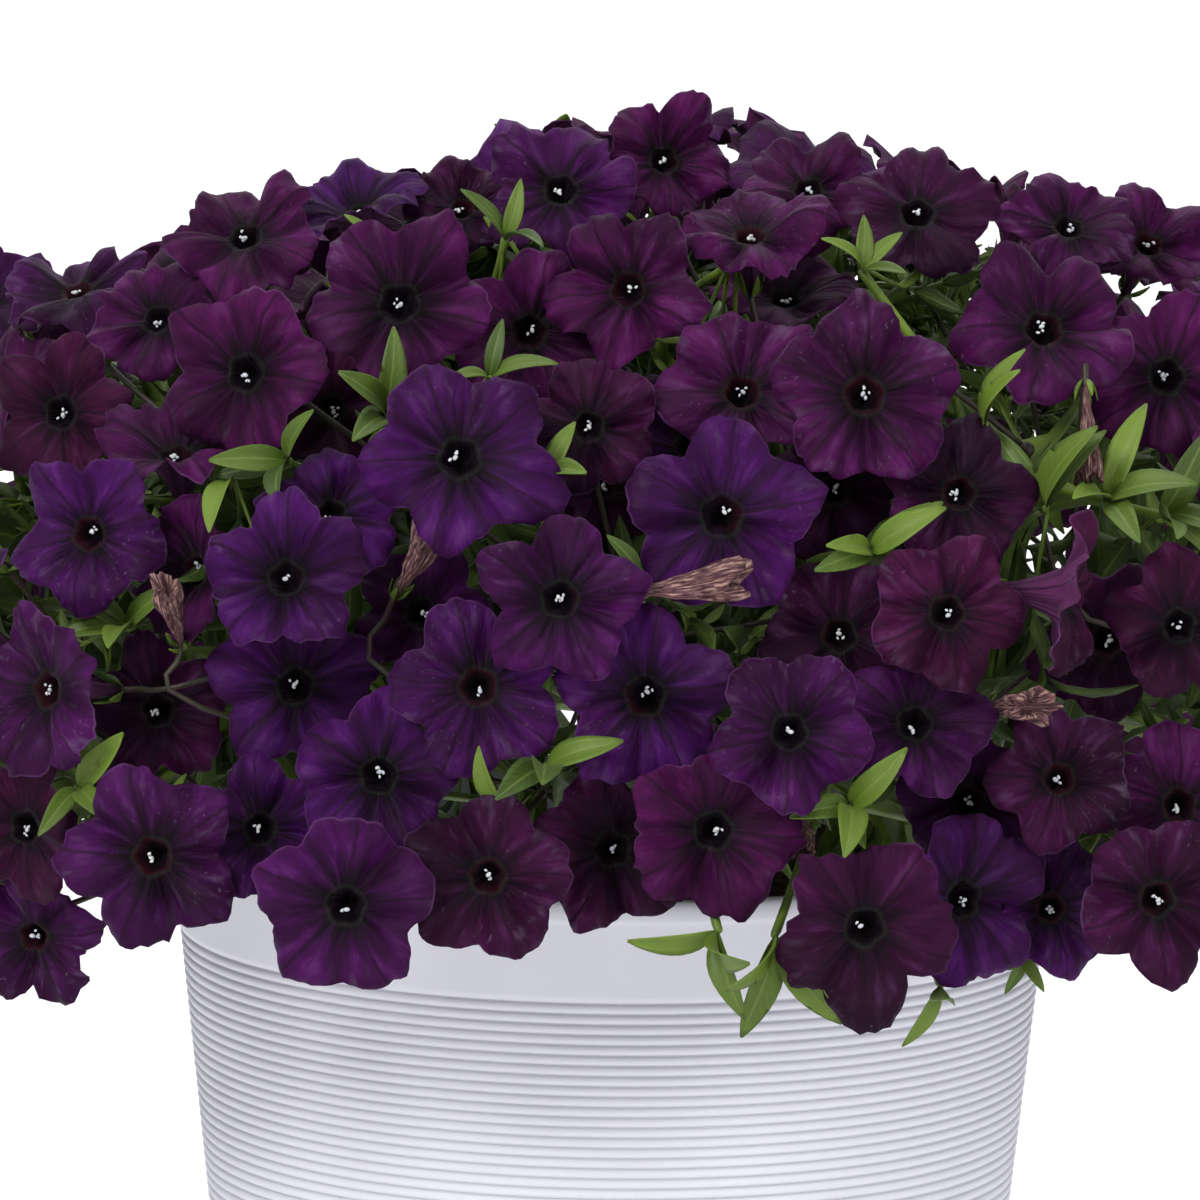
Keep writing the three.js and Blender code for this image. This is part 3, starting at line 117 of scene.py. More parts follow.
@dataclass
class Viewpoint:
    """The place and aim that the photograph was taken with."""

    distance: float = 3.632
    height: float = 0.882
    pitch: float = 8.34
    roll: float = 0.65
    yaw: float = -0.086
    focal: float = 10520.0
    frame_size: float = 1200.0
    sensor: float = 36.0

    def axes(self) -> tuple[Vector, Vector, Vector]:
        """Gives the camera's directions.

        Returns:
            The right, up and forward directions.
        """
        pitch, roll, yaw = (math.radians(a) for a in (self.pitch, self.roll, self.yaw))
        forward = Vector((math.sin(yaw) * math.cos(pitch), math.cos(yaw) * math.cos(pitch), -math.sin(pitch)))
        level = Vector((math.cos(yaw), -math.sin(yaw), 0.0))
        upright = level.cross(forward)
        right = level * math.cos(roll) + upright * math.sin(roll)
        return right, upright * math.cos(roll) - level * math.sin(roll), forward

    def eye(self) -> Vector:
        """Gives the camera's place."""
        return Vector((0.0, -self.distance, self.height))

    def pixel(self, point: Vector) -> tuple[float, float]:
        """Projects a point.

        Args:
            point: A place in metres.

        Returns:
            Its pixel in the photograph's 1200 by 1200 frame.
        """
        right, up, forward = self.axes()
        away = point - self.eye()
        depth = away.dot(forward)
        half = self.frame_size / 2
        return half + self.focal * away.dot(right) / depth, half - self.focal * away.dot(up) / depth

    def build(self) -> bpy.types.Object:
        """Makes the camera and puts the scene on it.

        Returns:
            The camera.
        """
        data = bpy.data.cameras.new("camera")
        data.sensor_width = self.sensor
        data.lens = self.sensor * self.focal / self.frame_size
        data.clip_start, data.clip_end = 0.1, 60.0
        camera = bpy.data.objects.new("camera", data)
        right, up, forward = self.axes()
        turn = Matrix((right, up, -forward)).transposed().to_4x4()
        camera.matrix_world = Matrix.Translation(self.eye()) @ turn
        bpy.context.scene.collection.objects.link(camera)
        bpy.context.scene.camera = camera
        return camera


class Finish:
    """A material whose nodes are added one at a time to its Principled shader."""

    def __init__(self, name: str, roughness: float, specular: float = 0.5) -> None:
        """Starts a material.

        Args:
            name: The material's name.
            roughness: The shader's roughness.
            specular: The shader's specular level.
        """
        self.material = bpy.data.materials.new(name)
        self.material.use_nodes = True
        self.tree = self.material.node_tree
        self.surface = self.tree.nodes["Principled BSDF"]
        self.surface.inputs["Roughness"].default_value = roughness
        self.surface.inputs["Specular IOR Level"].default_value = specular

    def add(self, kind: str, inputs: Inputs | None = None, **settings: object) -> bpy.types.Node:
        """Adds a node.

        Args:
            kind: The node's type name.
            inputs: Values or output sockets for its inputs.
            **settings: The node's own properties.

        Returns:
            The node.
        """
        node = self.tree.nodes.new(kind)
        for key, value in settings.items():
            setattr(node, key, value)
        for key, value in (inputs or {}).items():
            if isinstance(value, Socket):
                self.tree.links.new(value, node.inputs[key])
            else:
                node.inputs[key].default_value = value
        return node

    def place(self) -> Socket:
        """Gives the object coordinates."""
        return self.add("ShaderNodeTexCoord").outputs["Object"]

    def attribute(self, name: str) -> bpy.types.Node:
        """Gives a node that reads one of the mesh's own attributes."""
        return self.add("ShaderNodeAttribute", attribute_name=name)

    def split(self, vector: Socket) -> Sequence[Socket]:
        """Gives the three parts of a vector."""
        return self.add("ShaderNodeSeparateXYZ", {0: vector}).outputs

    def join(self, x: object, y: object, z: object) -> Socket:
        """Joins three numbers to a vector."""
        return self.add("ShaderNodeCombineXYZ", {0: x, 1: y, 2: z}).outputs[0]

    def math(self, operation: str, a: object, b: object = 0.0, clamp: bool = False) -> Socket:
        """Combines two numbers.

        Args:
            operation: The Math node's operation.
            a: The first number or socket.
            b: The second number or socket.
            clamp: Whether the result is kept between 0 and 1.

        Returns:
            The result.
        """
        return self.add("ShaderNodeMath", {0: a, 1: b}, operation=operation, use_clamp=clamp).outputs[0]

    def times(self, a: object, b: object, clamp: bool = False) -> Socket:
        """Multiplies two numbers."""
        return self.math("MULTIPLY", a, b, clamp)

    def plus(self, a: object, b: object) -> Socket:
        """Adds two numbers."""
        return self.math("ADD", a, b)

    def minus(self, a: object, b: object, clamp: bool = False) -> Socket:
        """Takes the second number from the first."""
        return self.math("SUBTRACT", a, b, clamp)

    def rest(self, share: object) -> Socket:
        """Gives what a share leaves of 1."""
        return self.math("SUBTRACT", 1.0, share, clamp=True)

    def size(self, number: object) -> Socket:
        """Gives a number without its sign."""
        return self.math("ABSOLUTE", number)

    def ramp(self, factor: Socket, stops: Stops) -> Socket:
        """Turns a number into a colour.

        Args:
            factor: The number.
            stops: Places between 0 and 1 with their colours.

        Returns:
            The colour.
        """
        node = self.add("ShaderNodeValToRGB", {0: factor})
        elements = node.color_ramp.elements
        while len(elements) < len(stops):
            elements.new(0.5)
        for element, (position, colour) in zip(elements, stops):
            element.position = position
            element.color = (*colour, 1.0)
        return node.outputs[0]

    def grey(self, factor: Socket, low: float, high: float) -> Socket:
        """Stretches the part of a number between low and high over 0 to 1."""
        node = self.add("ShaderNodeMapRange", {0: factor, 1: low, 2: high, 3: 0.0, 4: 1.0})
        return node.outputs[0]

    def mix(self, factor: object, a: object, b: object) -> Socket:
        """Mixes two colours.

        Args:
            factor: How much of the second colour shows.
            a: The first colour.
            b: The second colour.

        Returns:
            The colour.
        """
        node = self.add("ShaderNodeMix", data_type="RGBA", clamp_factor=True)
        for key, value in ((0, factor), (6, a), (7, b)):
            if isinstance(value, Socket):
                self.tree.links.new(value, node.inputs[key])
            elif key == 0:
                node.inputs[key].default_value = value
            else:
                node.inputs[key].default_value = (*value, 1.0)
        return node.outputs[2]

    def noise(self, vector: Socket, scale: float, detail: float = 3.0) -> Socket:
        """Gives noise between 0 and 1."""
        node = self.add("ShaderNodeTexNoise", {"Vector": vector, "Scale": scale, "Detail": detail})
        return node.outputs["Fac"]

    def colour(self, socket: Socket) -> None:
        """Links the base colour."""
        self.tree.links.new(socket, self.surface.inputs["Base Color"])

    def relief(self, height: Socket, distance: float, strength: float = 1.0) -> None:
        """Links a bump of a height in metres."""
        bump = self.add("ShaderNodeBump", {"Height": height, "Distance": distance, "Strength": strength})
        self.tree.links.new(bump.outputs[0], self.surface.inputs["Normal"])

    def velvet(self, weight: float, roughness: float, tint: Colour) -> None:
        """Sets the sheen of a downy surface."""
        self.surface.inputs["Sheen Weight"].default_value = weight
        self.surface.inputs["Sheen Roughness"].default_value = roughness
        self.surface.inputs["Sheen Tint"].default_value = (*tint, 1.0)


@dataclass(frozen=True)
class PetalFinish:
    """The velvety face of a petal, with a vein down each lobe, dark in the throat, partly its own colour and
    partly painted shade, with painted shade in its folds and on one side, and a painted highlight along its
    rim and creases.
    """

    violet: Colour = (0.044, 0.0034, 0.088)
    plum: Colour = (0.066, 0.0036, 0.058)
    ink_and_shade: Colour = (0.0105, 0.0012, 0.0085)
    wine: Colour = (0.050, 0.0030, 0.025)
    # The rim and gleam colours are painted highlights; the near-black ink is the petals' own dark colour and
    # also painted shade.
    rim: Colour = (0.108, 0.040, 0.124)
    gleam: Colour = (0.125, 0.085, 0.150)
    blood: Colour = (0.070, 0.006, 0.012)
    throat: Colour = (0.0025, 0.0010, 0.0020)
    collar: Colour = (0.030, 0.034, 0.026)
    back: Colour = (0.110, 0.026, 0.095)

    def build(self, outside: bool) -> bpy.types.Material:
        """Makes the face's material, or the paler outside's.

        Args:
            outside: Whether this is the back of the limb and the tube.

        Returns:
            The material.
        """
        finish = Finish("petal_outside" if outside else "petal_face", 0.6, 0.07)
        across, up, out = finish.split(finish.attribute("petal").outputs["Vector"])
        tone, dark, seed = finish.split(finish.attribute("tone").outputs["Vector"])
        angle = finish.math("ARCTAN2", up, across)
        square = finish.plus(finish.math("POWER", across, 2.0), finish.math("POWER", up, 2.0))
        radius = finish.math("SQRT", square)
        wobble = finish.noise(finish.place(), 70.0, 2.0)
        swing = finish.plus(finish.times(angle, 2.5), finish.times(wobble, 0.5))
        middle = finish.size(finish.times(finish.math("SINE", swing), radius))
        vein = finish.rest(finish.grey(middle, 0.006, 0.075))
        fan = finish.join(finish.plus(finish.times(angle, 5.0), seed), finish.times(radius, 2.4), 0.0)
        twigs = finish.add(
            "ShaderNodeTexVoronoi", {"Vector": fan, "Scale": 2.2}, feature="DISTANCE_TO_EDGE",
            voronoi_dimensions="2D")
        net = finish.rest(finish.grey(twigs.outputs["Distance"], 0.0, 0.12))
        pleat = finish.join(finish.times(angle, 1.9), finish.times(radius, 0.9), seed)
        crease = finish.noise(pleat, 2.4, 4.0)
        cloud = finish.noise(finish.place(), 38.0, 3.0)
        flush = finish.noise(finish.place(), 14.0, 2.0)
        body = finish.mix(tone, self.violet, self.plum)
        body = finish.mix(finish.grey(tone, 1.0, 2.0), body, self.wine)
        body = finish.mix(finish.times(finish.grey(flush, 0.35, 0.75), 0.35), body, self.plum)
        # Painted shade: one side of each bloom, turned by its seed, is darkened towards the near-black,
        # together with the tone's own darkness.
        side = finish.times(finish.math("COSINE", finish.minus(angle, seed)), radius)
        shade = finish.plus(finish.times(finish.grey(side, -0.1, 1.1), 0.62), finish.times(dark, 0.8))
        body = finish.mix(finish.minus(shade, 0.10, clamp=True), body, self.ink_and_shade)
        body = finish.mix(finish.times(finish.grey(cloud, 0.42, 0.75), 0.45), body, self.ink_and_shade)
        # Painted shade and painted highlight: the low parts of the crease relief are darkened and its ridges
        # are painted paler.
        body = finish.mix(finish.times(finish.grey(crease, 0.62, 0.40), 0.55, clamp=True), body, self.ink_and_shade)
        body = finish.mix(finish.times(finish.grey(crease, 0.58, 0.78), 0.32, clamp=True), body, self.rim)
        # Painted highlight: patchy sheen streaks in the gleam colour, strongest towards the rim.
        streak = finish.grey(finish.noise(pleat, 3.4, 2.0), 0.56, 0.76)
        streak = finish.times(streak, finish.grey(flush, 0.42, 0.62), clamp=True)
        body = finish.mix(finish.times(streak, finish.times(out, 0.42), clamp=True), body, self.gleam)
        # Fine specks in the gleam colour, partly dust and partly painted sheen.
        dust_and_sheen = finish.grey(finish.noise(finish.place(), 640.0, 0.0), 0.76, 0.82)
        dust_and_sheen = finish.times(dust_and_sheen, finish.grey(flush, 0.48, 0.6))
        body = finish.mix(finish.times(dust_and_sheen, 0.34, clamp=True), body, self.gleam)
        if outside:
            body = finish.mix(0.72, body, self.back)
        # Painted shade: darkening along the folds between the lobes.
        seam = finish.size(finish.times(finish.math("COSINE", swing), radius))
        seam = finish.rest(finish.grey(seam, 0.0, 0.26))
        body = finish.mix(finish.times(seam, 0.55), body, self.ink_and_shade)
        body = finish.mix(finish.times(net, 0.14), body, self.ink_and_shade)
        body = finish.mix(finish.times(vein, 0.75), body, self.ink_and_shade)
        # Painted highlight: a patchy paler band along the petal edge.
        patch = finish.grey(finish.noise(finish.place(), 60.0, 1.0), 0.46, 0.66)
        edge = finish.times(finish.grey(out, 0.965, 1.0), finish.times(patch, 0.62), clamp=True)
        body = finish.mix(edge, body, self.rim)
        if not outside:
            pool = finish.times(finish.grey(radius, 0.09, 0.20), finish.grey(flush, 0.50, 0.56), clamp=True)
            # The throat colour darkens the tube and the middle of the limb: partly the petals' own dark
            # centre and partly painted shade down the tube.
            reach = finish.plus(out, finish.times(finish.minus(crease, 0.5), 0.5))
            reach = finish.times(reach, finish.plus(finish.times(seed, 0.075), 0.72))
            funnel = finish.rest(finish.grey(reach, 0.02, 0.72))
            body = finish.mix(finish.math("POWER", funnel, 1.35), body, self.throat)
            mouth = finish.rest(finish.grey(out, 0.0, 0.05))
            body = finish.mix(finish.times(mouth, finish.times(pool, 0.28)), body, self.blood)
            band = finish.size(finish.minus(finish.times(out, 24.0), 1.1))
            band = finish.rest(band)
            body = finish.mix(finish.times(band, 0.22), body, self.collar)
        finish.colour(body)
        finish.velvet(0.08 if outside else 0.04, 0.4, (0.78, 0.62, 0.88))
        ridge = finish.plus(finish.times(cloud, 1.4), finish.times(crease, 3.4))
        finish.relief(ridge, 0.0007, 0.8)
        return finish.material


@dataclass(frozen=True)
class FadedFinish:
    """A spent bloom, dried to a streaked brownish pink."""

    pale: Colour = (0.34, 0.215, 0.175)
    dark: Colour = (0.030, 0.011, 0.018)

    def build(self) -> bpy.types.Material:
        """Makes the material."""
        finish = Finish("petal_faded", 0.8, 0.2)
        across, up, out = finish.split(finish.attribute("petal").outputs["Vector"])
        angle = finish.math("ARCTAN2", up, across)
        streak = finish.noise(finish.join(finish.times(angle, 3.0), out, 0.0), 2.6, 4.0)
        body = finish.ramp(streak, [(0.36, self.dark), (0.52, (0.115, 0.052, 0.058)), (0.66, self.pale)])
        finish.colour(body)
        finish.relief(streak, 0.0008, 0.8)
        return finish.material


@dataclass(frozen=True)
class GreenFinish:
    """The green of a leaf, a calyx or a stem, with a paler midrib and a soft down."""

    name: str = "leaf"
    light: Colour = (0.150, 0.235, 0.018)
    deep: Colour = (0.012, 0.032, 0.004)
    rib: Colour = (0.125, 0.19, 0.036)
    roughness: float = 0.52
    ribbed: bool = True

    def build(self) -> bpy.types.Material:
        """Makes the material."""
        finish = Finish(self.name, self.roughness, 0.35)
        cloud = finish.noise(finish.place(), 55.0, 3.0)
        shade = finish.ramp(finish.grey(cloud, 0.25, 0.75), [(0.0, self.deep), (1.0, self.light)])
        if self.ribbed:
            across, along, age = finish.split(finish.attribute("leaf").outputs["Vector"])
            side = finish.size(across)
            # The third value of the leaf attribute is the leaf's age; on the deep sprigs it is also painted
            # shade that keeps them dark.
            youth_and_shade = finish.mix(age, self.deep, self.light)
            shade = finish.mix(0.78, shade, youth_and_shade)
            rib = finish.rest(finish.grey(side, 0.03, 0.14))
            slant = finish.minus(finish.times(along, 9.0), finish.times(side, 2.2))
            wave = finish.size(finish.math("SINE", finish.times(slant, math.pi)))
            veins = finish.times(finish.rest(finish.grey(wave, 0.0, 0.22)), 0.4)
            shade = finish.mix(finish.math("MAXIMUM", finish.times(rib, 0.6), veins), shade, self.rib)
            finish.relief(finish.rest(finish.math("MAXIMUM", rib, veins)), 0.0002, 0.5)
        finish.colour(shade)
        finish.velvet(0.06, 0.4, (0.8, 0.9, 0.7))
        return finish.material


@dataclass(frozen=True)
class PlainFinish:
    """A small part of one hue that varies softly over it, such as an anther or a dark peduncle."""

    name: str
    low: Colour
    high: Colour
    roughness: float = 0.5
    scale: float = 160.0

    def build(self) -> bpy.types.Material:
        """Makes the material."""
        finish = Finish(self.name, self.roughness, 0.4)
        cloud = finish.noise(finish.place(), self.scale, 3.0)
        finish.colour(finish.ramp(finish.grey(cloud, 0.3, 0.7), [(0.0, self.low), (1.0, self.high)]))
        finish.relief(finish.noise(finish.place(), self.scale * 6, 2.0), 0.00015, 0.5)
        return finish.material


@dataclass(frozen=True)
class PotFinish:
    """Cool white moulded plastic with a faint grain and dusty blotches, and painted shade along its grooves.
    """

    clean: Colour = (0.705, 0.705, 0.775)
    dusty: Colour = (0.65, 0.65, 0.715)
    groove_shade: Colour = (0.40, 0.40, 0.49)
    pitch: float = 3.6 * MM

    def build(self) -> bpy.types.Material:
        """Makes the material."""
        finish = Finish("pot_plastic", 0.5, 0.3)
        cloud = finish.noise(finish.place(), 9.0, 4.0)
        speck = finish.noise(finish.place(), 420.0, 3.0)
        shade = finish.ramp(finish.grey(cloud, 0.3, 0.75), [(0.0, self.clean), (1.0, self.dusty)])
        shade = finish.mix(finish.times(finish.grey(speck, 0.6, 0.8), 0.25), shade, self.dusty)
        height = finish.split(finish.place())[2]
        # Painted shade: the grooves between the ribs are darkened.
        groove_shade = finish.size(finish.math("COSINE", finish.times(height, math.pi / self.pitch)))
        groove_shade = finish.times(finish.grey(groove_shade, 0.80, 1.0), finish.math("LESS_THAN", height, 0.2345))
        shade = finish.mix(finish.times(groove_shade, 0.55), shade, self.groove_shade)
        finish.colour(shade)
        return finish.material


@dataclass(frozen=True)
class SoilFinish:
    """Dark potting mix with paler fibres and crumbs."""

    wet: Colour = (0.012, 0.008, 0.005)
    dry: Colour = (0.085, 0.055, 0.034)

    def build(self) -> bpy.types.Material:
        """Makes the material."""
        finish = Finish("potting_mix", 0.95, 0.15)
        cells = finish.add("ShaderNodeTexVoronoi", {"Vector": finish.place(), "Scale": 210.0})
        grain = finish.noise(finish.place(), 480.0, 5.0)
        tint = finish.times(grain, finish.minus(1.25, cells.outputs["Distance"]))
        finish.colour(finish.ramp(finish.grey(tint, 0.25, 0.85), [(0.0, self.wet), (1.0, self.dry)]))
        height = finish.plus(finish.times(grain, 0.6), cells.outputs["Distance"])
        finish.relief(height, 0.003, 0.9)
        return finish.material


@dataclass(frozen=True)
class PaleFinish:
    """The studio's plain pale floor."""

    tint: Colour = (0.90, 0.90, 0.91)

    def build(self) -> bpy.types.Material:
        """Makes the material."""
        finish = Finish("studio_floor", 0.9, 0.1)
        cloud = finish.noise(finish.place(), 0.6, 2.0)
        near = tuple(c * 0.985 for c in self.tint)
        finish.colour(finish.ramp(cloud, [(0.3, near), (0.7, self.tint)]))
        return finish.material


class Palette:
    """The materials, each made once."""

    def __init__(self) -> None:
        """Makes the materials."""
        self.face = PetalFinish().build(outside=False)
        self.outside = PetalFinish().build(outside=True)
        self.faded = FadedFinish().build()
        self.leaf = GreenFinish().build()
        self.calyx = GreenFinish("calyx", ribbed=False).build()
        self.stem = GreenFinish("green_stem", ribbed=False).build()
        self.peduncle = PlainFinish("peduncle", (0.022, 0.024, 0.008), (0.026, 0.009, 0.013)).build()
        self.anther = PlainFinish("anther", (0.30, 0.34, 0.42), (0.66, 0.66, 0.62), 0.6, 900.0).build()
        self.pot = PotFinish().build()
        self.soil = SoilFinish().build()

    def spray(self) -> list[bpy.types.Material]:
        """Gives a spray's materials in the order of SprayPart."""
        return [self.face, self.outside, self.faded, self.calyx, self.peduncle, self.anther]


class SprayPart(Enum):
    """A spray's kinds of surface, in the order of its material slots."""

    FACE = 0
    OUTSIDE = 1
    FADED = 2
    CALYX = 3
    PEDUNCLE = 4
    ANTHER = 5


def new_piece(name: str, mesh: Mesh, materials: Sequence[bpy.types.Material]) -> bpy.types.Object:
    """Turns finished geometry into a smooth shaded piece that rides on the plant.

    Args:
        name: The piece's name.
        mesh: The geometry, which is freed.
        materials: Its materials in the order of its faces' slots.

    Returns:
        The object.
    """
    data = bpy.data.meshes.new(name)
    mesh.to_mesh(data)
    mesh.free()
    for material in materials:
        data.materials.append(material)
    data.shade_smooth()
    piece = bpy.data.objects.new(name, data)
    bpy.context.scene.collection.objects.link(piece)
    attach(piece, "root")
    return piece


def square_axes(axis: Vector) -> tuple[Vector, Vector]:
    """Gives two directions square to an axis.

    Args:
        axis: A unit direction.

    Returns:
        Two unit directions that make a right handed set with it.
    """
    side = UP.cross(axis)
    if side.length < 0.02:
        side = Vector((1.0, 0.0, 0.0))
    side.normalize()
    return side, axis.cross(side).normalized()


def around(first: Vector, second: Vector, angle: float) -> Vector:
    """Gives the direction at an angle from a first axis towards a second one."""
    return first * math.cos(angle) + second * math.sin(angle)


def curve_at(before: Value, start: Value, end: Value, after: Value, t: float) -> Value:
    """Gives a smooth curve's value between two of its points.

    Args:
        before: The value before the start.
        start: The value at t = 0.
        end: The value at t = 1.
        after: The value after the end.
        t: The share of the way.

    Returns:
        The value at t.
    """
    bend = 2 * before - 5 * start + 4 * end - after + t * (3 * (start - end) + after - before)
    return start + 0.5 * t * (end - before + t * bend)


def paint(mesh: Mesh, part: int) -> Mesh:
    """Gives all of a mesh one material slot."""
    for face in mesh.faces:
        face.material_index = part
    return mesh


def ball(detail: int, radius: float, place: Matrix, part: int = 0) -> Mesh:
    """Makes a small faceted ball.

    Args:
        detail: How finely it is divided.
        radius: Its radius before it is placed.
        place: The matrix that stretches and places it.
        part: The material slot of its faces.

    Returns:
        The geometry.
    """
    mesh = bmesh.new()
    bmesh.ops.create_icosphere(mesh, subdivisions=detail, radius=radius)
    bmesh.ops.transform(mesh, matrix=place, verts=mesh.verts)
    return paint(mesh, part)


class RingSkin:
    """A closed surface grown from a capped circle, each ring extruded from the last."""

    def __init__(self, count: int) -> None:
        """Starts with a circle.

        Args:
            count: The number of points round each ring.
        """
        self.mesh = bmesh.new()
        self.slot = self.mesh.verts.layers.int.new("slot")
        self.petal = self.mesh.verts.layers.float_vector.new("petal")
        circle = bmesh.ops.create_circle(self.mesh, cap_ends=True, segments=count, radius=1.0)
        self.ring = list(circle["verts"])
        for index, vertex in enumerate(self.ring):
            vertex[self.slot] = index
        self.part = 0
        self.first = True

    def grow(self, points: Sequence[Vector], marks: Sequence[Vector], part: int) -> None:
        """Adds a ring, or places the first one.

        Args:
            points: The ring's points.
            marks: The petal attribute at each point.
            part: The material slot of the faces up to this ring.
        """
        if not self.first:
            count = len(self.ring)
            edges = [self.mesh.edges.get((self.ring[k], self.ring[(k + 1) % count])) for k in range(count)]
            made = bmesh.ops.extrude_edge_only(self.mesh, edges=edges)["geom"]
            self.ring = sorted((g for g in made if isinstance(g, Corner)), key=lambda v: v[self.slot])
            for face in (g for g in made if isinstance(g, bmesh.types.BMFace)):
                face.material_index = part
        else:
            paint(self.mesh, part)
        self.first = False
        for vertex, point, mark in zip(self.ring, points, marks):
            vertex.co = point
            vertex[self.petal] = mark

    def shut(self, tip: Vector) -> None:
        """Draws the last ring together at a point."""
        bmesh.ops.pointmerge(self.mesh, verts=self.ring, merge_co=tip)


@dataclass
class BloomFrame:
    """One bloom as its CAD node holds it."""

    place: Vector
    face: Vector
    across: Vector
    up: Vector
    scale: float
    edge: list[tuple[float, float, float]]
    tube_end: Vector
    path: list[Vector]

    def point(self, x: float, y: float, z: float) -> Vector:
        """Gives the place of a point of the bloom's own frame."""
        return self.place + self.across * x + self.up * y + self.face * z


@dataclass
class SprayReader:
    """Finds the blooms of a spray in its CAD node by the way their corners are joined."""

    node: str
    throat_ratio: float = 0.5852
    pit_reach: float = 12.453 * MM
    pit_depth: float = 14.0 * MM
    knob_side: float = 3.470 * MM
    knob_depth: float = 2.622 * MM

    def read(self) -> list[BloomFrame]:
        """Reads the node.

        Returns:
            Its blooms.
        """
        mesh = bmesh.new()
        mesh.from_mesh(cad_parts[self.node].data)
        bmesh.ops.remove_doubles(mesh, verts=mesh.verts, dist=WELD)
        blooms = [bloom for bloom in (self.bloom_at(vertex) for vertex in mesh.verts) if bloom]
        mesh.free()
        return blooms

    @staticmethod
    def beyond(ring: Sequence[Corner], known: set[Corner]) -> list[Corner]:
        """Gives the corners joined to a ring that are in no earlier one."""
        found = {edge.other_vert(vertex) for vertex in ring for edge in vertex.link_edges}
        return sorted(found - known - set(ring), key=lambda v: v.index)

    @staticmethod
    def centre(ring: Sequence[Corner]) -> Vector:
        """Gives the middle of a ring."""
        return sum((vertex.co for vertex in ring), Vector()) / len(ring)

    def bloom_at(self, pit: Corner) -> BloomFrame | None:
        """Reads a bloom from the corner at the bottom of its throat.

        Args:
            pit: A corner of the node.

        Returns:
            The bloom, or None where the corner is another one.
        """
        if len(pit.link_edges) != 5:
            return None
        throat = [edge.other_vert(pit) for edge in pit.link_edges]
        reach = [(vertex.co - pit.co).length for vertex in throat]
        mean = sum(reach) / 5
        if max(reach) - min(reach) > 0.01 * mean:
            return None
        near = {a: {edge.other_vert(a) for edge in a.link_edges} for a in throat}
        sides = [(a.co - b.co).length for a in throat for b in throat if b in near[a]]
        if len(sides) != 10 or abs(sum(sides) / 10 / mean - self.throat_ratio) > 0.02:
            return None
        scale = mean / self.pit_reach
        face = (self.centre(throat) - pit.co).normalized()
        place = pit.co + face * self.pit_depth * scale
        first = throat[0]
        other = next(vertex for vertex in throat if vertex in near[first])
        across = (first.co + other.co) / 2 - place
        across = (across - face * across.dot(face)).normalized()
        up = face.cross(across)
        known = {pit, *throat}
        rings = [throat]
        for _ in range(3):
            rings.append(self.beyond(rings[-1], known))
            known |= set(rings[-1])
        edge, end = rings[1], rings[3]
        rim = []
        for vertex in edge:
            away = vertex.co - place
            x, y = away.dot(across), away.dot(up)
            rim.append((math.atan2(y, x) % (2 * math.pi), math.hypot(x, y), away.dot(face)))
        tube_end = self.centre(end)
        path = [tube_end]
        ring = end
        for _ in range(2):
            ring = self.beyond(ring, known)
            known |= set(ring)
            if len(ring) != 3:
                break
            side = (ring[0].co - ring[1].co).length
            if abs(side - self.knob_side) < 0.1 * MM:
                middle = self.centre(ring)
                path.append(middle + (middle - path[-1]).normalized() * self.knob_depth)
                break
            path.append(self.centre(ring))
        return BloomFrame(place, face, across, up, scale, sorted(rim), tube_end, path)


